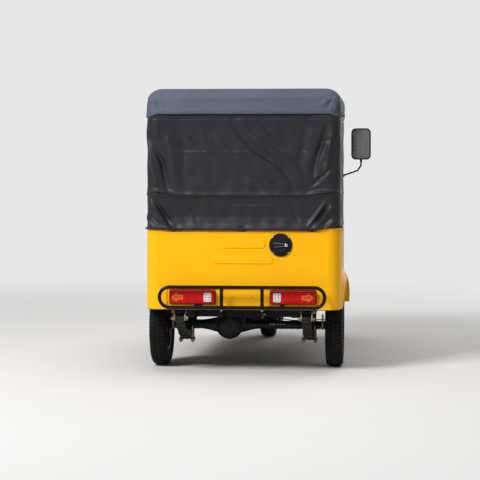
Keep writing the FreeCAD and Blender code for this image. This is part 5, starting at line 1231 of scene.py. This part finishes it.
def curtain_point(across, height):
    """Drawing place on the outer face of the curtain, and the way it faces there."""
    a, h = np.array([across]), np.array([height])
    out = curtain_drape(a, h, np.array([CURTAIN_LOW.z]))
    x, y, nx, ny = (float(value[0]) for value in curtain_path(a))
    lift = float(out[0])
    place = Vector((x + nx * lift, y + ny * lift, height))
    return Vector((place.x * 1000, place.y * 1000 - DRAWING_SHIFT, place.z * 1000)), Vector((nx, ny, 0.0))


def curtain_fittings():
    """Turn buttons along the hem and at the edges, and the stitching."""
    buttons = ((FASTENER_X[0], 0.908, 0.3), (FASTENER_X[1], 0.908, -0.2), (FASTENER_X[2], 0.905, 0.1),
               (-0.66, 0.905, 0.0), (0.66, 0.917, 0.2))
    for across, height, turn in buttons:
        spot, out = curtain_point(across, height)
        along, rise = Vector((-out.y, out.x, 0.0)), Vector(UP)
        c, s = math.cos(turn), math.sin(turn)
        u, v = along * c + rise * s, rise * c - along * s
        if u.cross(v).dot(out) < 0:
            u = -u
        yield BLACK_PLASTIC, lathe([(9.5, -1), (9.5, 0.8), (7.5, 1.6), (0.4, 1.6)], spot, out, 20)
        yield BLACK_PLASTIC, lathe([(4.5, 1), (4.0, 5.0), (4.0, 6.0)], spot, out, 14)
        yield BLACK_PLASTIC, plate(rounded(21, 10.5, 5.1), spot + out * 5, (u, v), 6.5, 1.8)
        yield STEEL, lathe([(2.3, 11.3), (2.0, 12.2), (0.3, 12.6)], spot, out, 10)
    # Stitches of one seam on either side of its middle, their pitch and half their length
    count, pitch, stitch = 74, 0.0085, 0.0028
    for height in (CURTAIN_LOW.z + 0.021, HEADER_HEIGHT + 0.0045):
        for index in range(-count, count + 1):
            first, out = curtain_point(index * pitch - stitch, height)
            second = curtain_point(index * pitch + stitch, height)[0]
            yield THREAD, sweep([first + out * 0.3, second + out * 0.3], 0.55, 4)


# Middle of the leaf springs, on either side
SPRING_X = 400.0


def spring_eye():
    """Reach of a spring's eye from the axle, and its height."""
    arc, top, half_span, eye = 925.0, 228.0, 422.0, 8.8
    reach = arc - eye
    angle = math.asin(half_span / arc)
    return reach * math.sin(angle), top + arc - reach * math.cos(angle)


def running_gear_trim():
    """Nuts, levers, plugs, pipes and clips on the axle, springs and frame."""
    y, z = REAR_AXLE
    span, eye_z = spring_eye()
    for side in (-1, 1):
        for x in (side * (SPRING_X - 38.0), side * (SPRING_X + 38.0)):
            for bolt_y in (y - 32.8, y + 32.8):
                yield ZINC, nut((x, bolt_y, 172), DOWN, 12.4, 11, 10)
                yield ZINC, sweep([(x, bolt_y, 170), (x, bolt_y, 258)], 6.2, 10)
        for across in (-1, 1):
            for pin_y, pin_z in ((-1282.0, 379.0), (y - span, eye_z), (y + span, eye_z)):
                yield ZINC, nut((side * SPRING_X + across * 41.5, pin_y, pin_z), (across, 0, 0), 11.5, 8, 4)
        yield ZINC, lathe([(9, 0), (9, 5), (7, 7), (0.5, 7)], (side * SPRING_X, y, 172.5), DOWN, 12)
        pipe = ((502, 50, 30), (478, 36, 34), (430, 20, 32), (300, -6, 30), (214, -18, 44), (120, -30, 70))
        yield CHASSIS, sweep(curved([(side * px, y + py, z + pz) for px, py, pz in pipe]), 3.0)
        inner, outer = side * 481, side * 493
        yield ZINC, block((min(inner, outer), y - 52, 238), (max(inner, outer), y - 38, 338), 3)
        yield ZINC, nut((inner, y - 45, 250), (-side, 0, 0), 8.0, 6, 4)
        for x in (210.0, 286.0, 330.0):
            yield CHASSIS, ring(28.6, 2.4, (side * x, y, z), (1, 0, 0), 28, 6)
    for x, width in ((146, 9), (168, 16), (196, 11), (214, 14), (236, 8)):
        yield STEEL, plate(rounded(width, 5.5, 2), (x, y - 28.2, z + 5), FACE_BACK, 1.6, 0.5)
    banjo_x, bolt_circle = -118, 79.5
    for step in range(8):
        angle = math.pi / 8 + math.pi * step / 4
        spot = (banjo_x + bolt_circle * math.cos(angle), y - 55.5, z + bolt_circle * math.sin(angle))
        yield CHASSIS, nut(spot, BEHIND, 6.2, 4)
    yield ZINC, nut((banjo_x, y + 4, z - 88), DOWN, 9.5, 7)
    yield SPRING_STEEL, nut((-80, y - 88.5, 279), BEHIND, 8.4, 5)
    for side in (-1, 1):
        for stay_y in (-1300.0, -1268.0):
            yield ZINC, nut((side * 131, stay_y, 368), (side, 0, 0), 8.5, 6, 3)
        yield STEEL, lathe([(6.4, 0), (5.8, 2.4), (0.4, 3.4)], (side * 127, -1416.5, 398), BEHIND, 14)
        bracket_x, bracket_y = side * 270, -1262
        yield CHASSIS, block((bracket_x - 34, bracket_y, 396), (bracket_x + 34, bracket_y + 22, 432), 3)
        for offset in (-16, 16):
            yield ZINC, nut((bracket_x + offset, bracket_y, 411), BEHIND, 7.4, 5)
    hose = curved([(40, -1196, 352), (26, -1120, 332), (2, -1010, 350), (-60, y - 40, z + 84)])
    yield SOFT_BLACK, sweep(hose, 5.5, 10)


WHEELS = (
    # body, middle, axle, outer side, the nuts' distance from the middle
    ("rear_wheel_right", 564.0, REAR_AXLE, 1, 9.0),
    ("rear_wheel_left", -564.0, REAR_AXLE, -1, 9.0),
    ("front_wheel", 0.0, FRONT_AXLE, 1, 6.0),
)


def wheel_trim(body, x, axle, side, disc):
    """Wheel nuts, valve and, on the rear wheels, the rim of the grease cap."""
    y, z = axle
    valve = 1.25

    def spot(out, radius, angle):
        return Vector((x + side * out, y + radius * math.cos(angle), z + radius * math.sin(angle)))

    for step in range(5):
        yield ZINC, nut(spot(disc, 57, 2 * math.pi * step / 5 + 0.3), (side, 0, 0), 10.5, 9, 5)
    foot, end = spot(14, 137, valve), spot(42, 124, valve)
    yield SOFT_BLACK, sweep([foot, foot.lerp(end, 0.7)], 4.6, 10)
    yield STEEL, sweep([foot.lerp(end, 0.6), end], 3.2, 10)
    if body != "front_wheel":
        yield STEEL, ring(26.4, 1.4, (x + side * 27, y, z), (side, 0, 0), 28, 6)


def arch_edging(side):
    """Rolled edge of a flare."""
    y, z = REAR_AXLE
    arch, steps = 305.5, 32
    path, radii = [], []
    first = math.asin((430 - z) / arch)
    for step in range(steps + 1):
        angle = first + (math.radians(150) - first) * step / steps
        py = y + arch * math.cos(angle)
        behind = min(max((y + 225 - py) / 412.5, 0.0), 1.0)
        path.append((side * (651.5 - 16 * behind), py, z + arch * math.sin(angle)))
        radii.append(2.8 * min(1.0, 0.45 + step / 5, 0.3 + (steps - step) / 8))
    yield YELLOW, sweep(path, radii)


def mirror_trim():
    """Pane that faces the driver, rim and neck of the right mirror."""
    middle = (700, 1455)
    yield MIRROR, plate(rounded(127, 214, 27, middle, 6), (0, 850.5, 0), FACE_BACK, 2.4, 0.8)
    rim = rounded(138, 225, 30, middle, 6)
    yield BLACK_PLASTIC, sweep([(x, 849.2, z) for x, z in rim], 3.4, closed=True)
    yield BLACK_PLASTIC, lathe([(11, 0), (10, 8), (7.5, 22)], (700, 864, 1344), DOWN, 16)


SCREEN_LEAN = math.radians(18)
SCREEN_FOOT, SCREEN_TOP = 955, 1714
INDICATOR_HEIGHT = 628


def screen_mm(x, out, along):
    """Point on the leaning windscreen: across, out from the pane, and up along it."""
    c, s = math.cos(SCREEN_LEAN), math.sin(SCREEN_LEAN)
    return x, 985 + out * c - along * s, SCREEN_FOOT + out * s + along * c


def nose_face(height):
    """Place of the leaning nose's front face at a height."""
    return 1130 - 120 * (height - 399) / 556


def front_trim():
    """Windscreen seal and wiper, headlamp rims and lenses, indicators and the grille's backing."""
    low, high = 43, (SCREEN_TOP - SCREEN_FOOT) / math.cos(SCREEN_LEAN) - 40
    for out in (3.5, -3.5):
        loop = rounded(1072, high - low - 4, 22, (0, (low + high) / 2), 5)
        yield SOFT_BLACK, sweep([screen_mm(x, out, z) for x, z in loop], 5.0, closed=True)
    pivot, tip = screen_mm(-150, 16, 26), screen_mm(-60, 13, 330)
    yield BLACK_PLASTIC, lathe([(12, -12), (12, 4), (8, 8)], pivot, (0, 1, 0.3), 18)
    yield BLACK_PLASTIC, sweep([pivot, screen_mm(-120, 20, 140), tip], [5, 3.6, 3])
    yield SOFT_BLACK, sweep([screen_mm(-104, 7.5, 150), tip, screen_mm(-18, 7.5, 500)], [3, 4.6, 3], 6)
    for side in (-1, 1):
        x, y, z = side * 340.0, 1092.0, 760.0
        yield CHROME, ring(86.0, 6.0, (x, y + 0.5, z), AHEAD, 56, 10)
        bowl = [(79, 1), (76, 7), (66, 13), (48, 18.5), (26, 21.5), (1, 22.5)]
        yield CLEAR_LENS, lathe(bowl, (x, y, z), AHEAD, 40)
        yield SOFT_BLACK, ring(90.0, 3.0, (x, y - 13, z), AHEAD, 48, 6)
        for rib in range(-3, 4):
            across, reach = rib * 16, 0.8 * math.sqrt(60 ** 2 - (rib * 16) ** 2)
            bulge = y + 21.5 - 6.5 * (abs(rib) / 3) ** 2
            line = [(x + across, bulge - 6 * k * k, z + reach * k) for k in (-1, -0.5, 0, 0.5, 1)]
            yield CLEAR_LENS, sweep(line, 1.6, 6)
        indicator = (side * 392, nose_face(INDICATOR_HEIGHT), INDICATOR_HEIGHT), (0, 1, 0.21), 32
        yield BLACK_PLASTIC, lathe([(33, -4), (33, 4), (30, 6)], *indicator)
        yield ORANGE_LENS, lathe([(28, 3), (28, 14), (24, 20), (14, 24), (1, 25)], *indicator)
    grille = (1, 0, 0), (0, 0.21, 1)
    yield SOFT_BLACK, plate(rounded(244, 118, 6, (0, 831)), (0, 1016, 0), grille, 2, 0.5)
    arch, steps = 268, 40
    edge = [(arch, 1129, 402)]
    for step in range(steps + 1):
        angle = math.pi * step / steps
        z = 480 + arch * math.sin(angle)
        edge.append((arch * math.cos(angle), nose_face(z) - 1, z))
    edge.append((-arch, 1129, 402))
    yield SOFT_BLACK, sweep(edge, 5.0)


RAKE = math.radians(20)


def steer_mm(x, ahead, along):
    """Drawing place of a point given across, ahead of and along the steering axis."""
    c, s = math.cos(RAKE), math.sin(RAKE)
    return Vector((x, 1067 - along * s + ahead * c, FRONT_AXLE[1] + along * c + ahead * s))


def grip_profile(start, ribs, first, pitch, last, end):
    """Ribbed grip as a turned profile: the ribs repeat from the first place to before the last."""
    profile = list(start)
    while first < last:
        profile += [(radius, first + along) for radius, along in ribs]
        first += pitch
    return profile + list(end)


def steering_trim():
    """Grips, switch boxes, cables and nuts that turn with the fork."""
    bar = 690 / math.cos(RAKE) + 130
    axis, back = steer_mm(0, 0, 1) - steer_mm(0, 0, 0), steer_mm(0, -1, 0) - steer_mm(0, 0, 0)
    for side in (-1, 1):
        inner, outer = steer_mm(side * 219, -72, bar + 49.8), steer_mm(side * 331, -130, bar + 40)
        along, length = (outer - inner).normalized(), (outer - inner).length
        grip = grip_profile([(15, -4), (21.5, -3), (21.5, 2), (18.2, 3)],
                            [(18.2, 0), (19.6, 1.2), (19.6, 2.8), (18.2, 4.0)], 5.0, 5.0, length - 8,
                            [(18.4, length - 5), (21, length - 3), (21, length + 3), (14, length + 6)])
        yield SOFT_BLACK, lathe(grip, inner, along, 24)
        box = steer_mm(side * 186, -52, bar + 51)
        yield BLACK_PLASTIC, lathe([(15, -15), (20, -12), (20, 12), (15, 15)], box, along, 20)
        for offset, finish in ((-6, ORANGE_LENS), (5, LED_GREY)):
            yield finish, lathe([(4.5, 16), (4.5, 23), (3, 24)], box + along * offset, (0, -1, 0.4), 12)
        cable = ((200, -44, 48), (150, 26, 30), (60, 44, -40), (30, 40, -110))
        path = [steer_mm(side * x, ahead, bar + rise) for x, ahead, rise in cable]
        yield SOFT_BLACK, sweep(curved(path), 3.6)
        yield ZINC, nut((side * 114, *FRONT_AXLE), (side, 0, 0), 15, 11, 5)
        yield ZINC, nut(steer_mm(side * 72, 40, 150), (side, 0, 0), 7, 4)
    yield STEEL, nut(steer_mm(0, 0, bar + 14), axis, 15, 10)
    for x in (-15, 15):
        yield STEEL, nut(steer_mm(x, -24, bar - 5), back, 5.5, 4)


def dial_trim():
    """Round dial on the pod, with ticks, a needle and warning lamps; u and v lie in its face."""
    normal = Vector((0, -78, 30)).normalized()
    centre = Vector((0, 884, 991))
    u = Vector((1, 0, 0))
    v = normal.cross(u)

    def hand(degrees, near, far, rise, radius):
        angle = math.radians(degrees)
        along = u * math.cos(angle) + v * math.sin(angle)
        return sweep([centre + normal * rise + along * reach for reach in (near, far)], radius, 6)

    yield CHROME, ring(31.5, 2.4, centre + normal * 3.0, normal, 44, 8)
    yield BLACK_PLASTIC, lathe([(31, -6), (31, 2.0), (0.5, 2.0)], centre, normal, 40)
    for step in range(11):
        yield WHITE_LENS, hand(225 - 27 * step, 22, 27, 2.4, 0.8)
    yield ORANGE_LENS, hand(215, -5, 21, 3.4, [1.6, 0.6])
    yield BLACK_PLASTIC, lathe([(4, 1), (4, 5), (2, 6)], centre, normal, 16)
    for x, finish in ((-62, RED_LENS), (-48, ORANGE_LENS), (48, WHITE_LENS), (62, RED_LENS)):
        yield finish, lathe([(5, -3), (5, 1.5), (3, 3), (0.4, 3.4)], centre + u * x, normal, 16)


def half_width(y):
    """Half the floor's width at a place on the drawing."""
    return 608.0 - 40.0 * min(max((y + 532.0) / 1270.0, 0.0), 1.0)


def floor_mats():
    """Ribbed rubber mats, tread strips at the doorways and the pedal's pad."""
    top = 399
    floor = (0, 0, top)
    for y0, y1 in ((-628.0, -132.0), (430.0, 736.0)):
        w0, w1 = half_width(y0) - 62, half_width(y1) - 62
        yield SOFT_BLACK, plate([(-w0, y0), (w0, y0), (w1, y1), (-w1, y1)], floor, FACE_UP, 3.2, 0.8)
        count = int(2 * w1 / 24)
        for index in range(count + 1):
            x = -w1 + 14 + index * (2 * w1 - 28) / count
            # No rib under the driver's pedal
            if y0 < 0 or not 150 < x < 232:
                yield SOFT_BLACK, sweep([(x, y0 + 14, top + 3.2), (x, y1 - 14, top + 3.2)], 2.6, 6)
    for side in (-1, 1):
        for y0, y1 in ((-500.0, -150.0), (440.0, 700.0)):
            x0, x1 = half_width(y0) - 26, half_width(y1) - 26
            outline = [(x0 - 24, y0), (x0 + 24, y0), (x1 + 24, y1), (x1 - 24, y1)]
            strip = [plate(outline, floor, FACE_UP, 2.0, 0.6)]
            for k in (-16, -8, 0, 8, 16):
                rib = [(x0 + k, y0 + 12, top + 2.2), (x1 + k, y1 - 12, top + 2.2)]
                strip.append(sweep(rib, 1.6, 6))
            for part in strip:
                yield STEEL, mirrored(part) if side < 0 else part
    # Pedal pad, with its ribs
    x, y, z = 190.0, 636.0, 525
    yield SOFT_BLACK, plate(rounded(58, 20, 4, (x, 0)), (0, y - 2, z), FACE_UP, 4, 1)
    for k in (-20, -10, 0, 10, 20):
        yield SOFT_BLACK, sweep([(x + k, y - 9, z + 4), (x + k, y + 5, z + 4)], 1.6, 6)


def cabin_trim():
    """Grip and button of the hand brake, latches and screws of the seat box, strap loops."""
    start, end = Vector((370, 440, 530.4)), Vector((370, 530, 579))
    along, length = (end - start).normalized(), (end - start).length
    grip = grip_profile([(12.2, 0), (14, 2)], [(13.6, 0), (14.8, 2), (14.8, 4), (13.6, 6)],
                        6.0, 8.0, length - 6, [(14, length - 2), (11, length + 3)])
    yield SOFT_BLACK, lathe(grip, start, along, 20)
    yield STEEL, lathe([(5.5, 0), (5.5, 12), (4, 15)], end, along, 14)
    for side in (-1, 1):
        for y in (-60.0, 165.0, 390.0):
            yield STEEL, lathe([(6, -0.5), (5.4, 2), (0.5, 3)], (side * 330, y, 668), (side, 0, 0), 12)
    for x in (-180.0, 180.0):
        yield BLACK_PLASTIC, plate(rounded(44, 16, 5, (x, 640)), (0, 420, 0), ((-1, 0, 0), UP), 5, 1.5)
    for x in (-400.0, -133.0, 133.0, 400.0):
        yield STEEL, lathe([(7, -0.5), (6.4, 2), (0.5, 3.2)], (x, -640, 560), AHEAD, 14)


def on_left(parts):
    """The same parts, mirrored onto the vehicle's left side."""
    return [(finish, mirrored(part)) for finish, part in parts]


def fittings():
    """Every small piece and, where it moves, its body."""
    build("tail_lamp_trim_right", tail_lamp_trim(234, 265))
    build("tail_lamp_trim_left", on_left(tail_lamp_trim(254, 304)))
    build("filler_trim", filler_trim())
    build("curtain_fittings", curtain_fittings())
    build("running_gear_trim", running_gear_trim())
    for wheel in WHEELS:
        build("wheel_trim_" + wheel[0], wheel_trim(*wheel), wheel[0])
    for name, side in (("right", 1), ("left", -1)):
        build("arch_edging_" + name, arch_edging(side))
    build("mirror_trim_right", mirror_trim())
    build("mirror_trim_left", on_left(mirror_trim()))
    build("front_trim", front_trim())
    build("steering_trim", steering_trim(), "steering")
    build("dial_trim", dial_trim())
    build("floor_mats", floor_mats())
    build("cabin_trim", cabin_trim())


PALE = (0.80, 0.80, 0.795)
SKY_LIGHT = 0.30
GLOSSY_SHARE = 0.45
FLOOR_REACH = 120.0
AIM = Vector((0.0, 0.0, 0.8))
LAMPS = (
    # name, place, size, watts
    ("key", (-5.0, -7.6, 7.4), 3.4, 1080.0),
    ("fill", (7.0, -6.5, 4.0), 5.0, 30.0),
    ("above", (0.0, 0.0, 8.5), 5.0, 230.0),
    ("front", (3.5, 8.5, 5.0), 6.0, 300.0),
)


def seen_directly(graph):
    """One for rays from the camera and through glass, and a share of it for reflections."""
    path = graph.node("ShaderNodeLightPath").outputs
    share = graph.times(path["Is Glossy Ray"], GLOSSY_SHARE)
    seen = graph.maths("MAXIMUM", path["Is Camera Ray"], share)
    return graph.maths("MAXIMUM", seen, path["Is Transmission Ray"])


def sky():
    """Pale backdrop that lights the object less than it shows."""
    world = bpy.data.worlds.new("sky")
    bpy.context.scene.world = world
    world.use_nodes = True
    graph = Graph(world.node_tree)
    background = world.node_tree.nodes["Background"].inputs
    background["Color"].default_value = (*PALE, 1.0)
    graph.feed(background["Strength"], graph.spread(seen_directly(graph), 0.0, 1.0, SKY_LIGHT, 1.0))


def floor_finish():
    """Pale floor that fades into the backdrop with distance from the object."""
    s = Shader("pale_floor", Roughness=0.9, Specular_IOR_Level=0.1)
    s.colour(s.noise(1.5, 5.0), (0.72, 0.715, 0.71), (0.70, 0.695, 0.69))
    s.bump((s.noise(120.0, 3.0), 0.05, 0.002))
    glow = s.node("ShaderNodeEmission", {"Color": (*PALE, 1.0), "Strength": 1.0})
    distance = s.node("ShaderNodeVectorMath", {0: s.place}, operation="LENGTH").outputs["Value"]
    seen = s.times(s.spread(distance, 2.6, 8.0), seen_directly(s))
    blend = s.node("ShaderNodeMixShader", {0: seen, 1: s.surface.outputs[0], 2: glow.outputs[0]})
    s.feed(s.tree.nodes["Material Output"].inputs["Surface"], blend.outputs[0])
    return s.material


def stand(name, data, place, turn=(0.0, 0.0, 0.0)):
    """Put a thing of the studio in its place."""
    obj = bpy.data.objects.new(name, data)
    obj.location = place
    obj.rotation_euler = turn
    bpy.context.scene.collection.objects.link(obj)
    return obj


def studio():
    """Pale floor and backdrop, soft lamps and the camera."""
    corners = [(x * FLOOR_REACH, y * FLOOR_REACH, 0.0) for x, y in ((-1, -1), (1, -1), (1, 1), (-1, 1))]
    floor = new_mesh("floor", corners, [(0, 1, 2, 3)], [floor_finish()])
    stand("floor", floor, (0.0, 0.0, 0.0))
    for name, place, size, watts in LAMPS:
        light = bpy.data.lights.new(name, "AREA")
        light.shape = "SQUARE"
        light.size = size
        light.energy = watts
        stand(name, light, place, (AIM - Vector(place)).to_track_quat("-Z", "Y").to_euler())
    sky()
    camera = bpy.data.cameras.new("camera")
    camera.lens = CAMERA_LENS
    camera.sensor_width = CAMERA_SENSOR
    camera.clip_end = 400.0
    turn = (math.pi / 2 + CAMERA_PITCH, 0.0, CAMERA_YAW)
    bpy.context.scene.camera = stand("camera", camera, CAMERA_PLACE, turn)
    bpy.context.scene.view_settings.view_transform = "Standard"


finish_nodes()
rear_curtain()
roof_canvas()
tyres()
pads()
fittings()
studio()
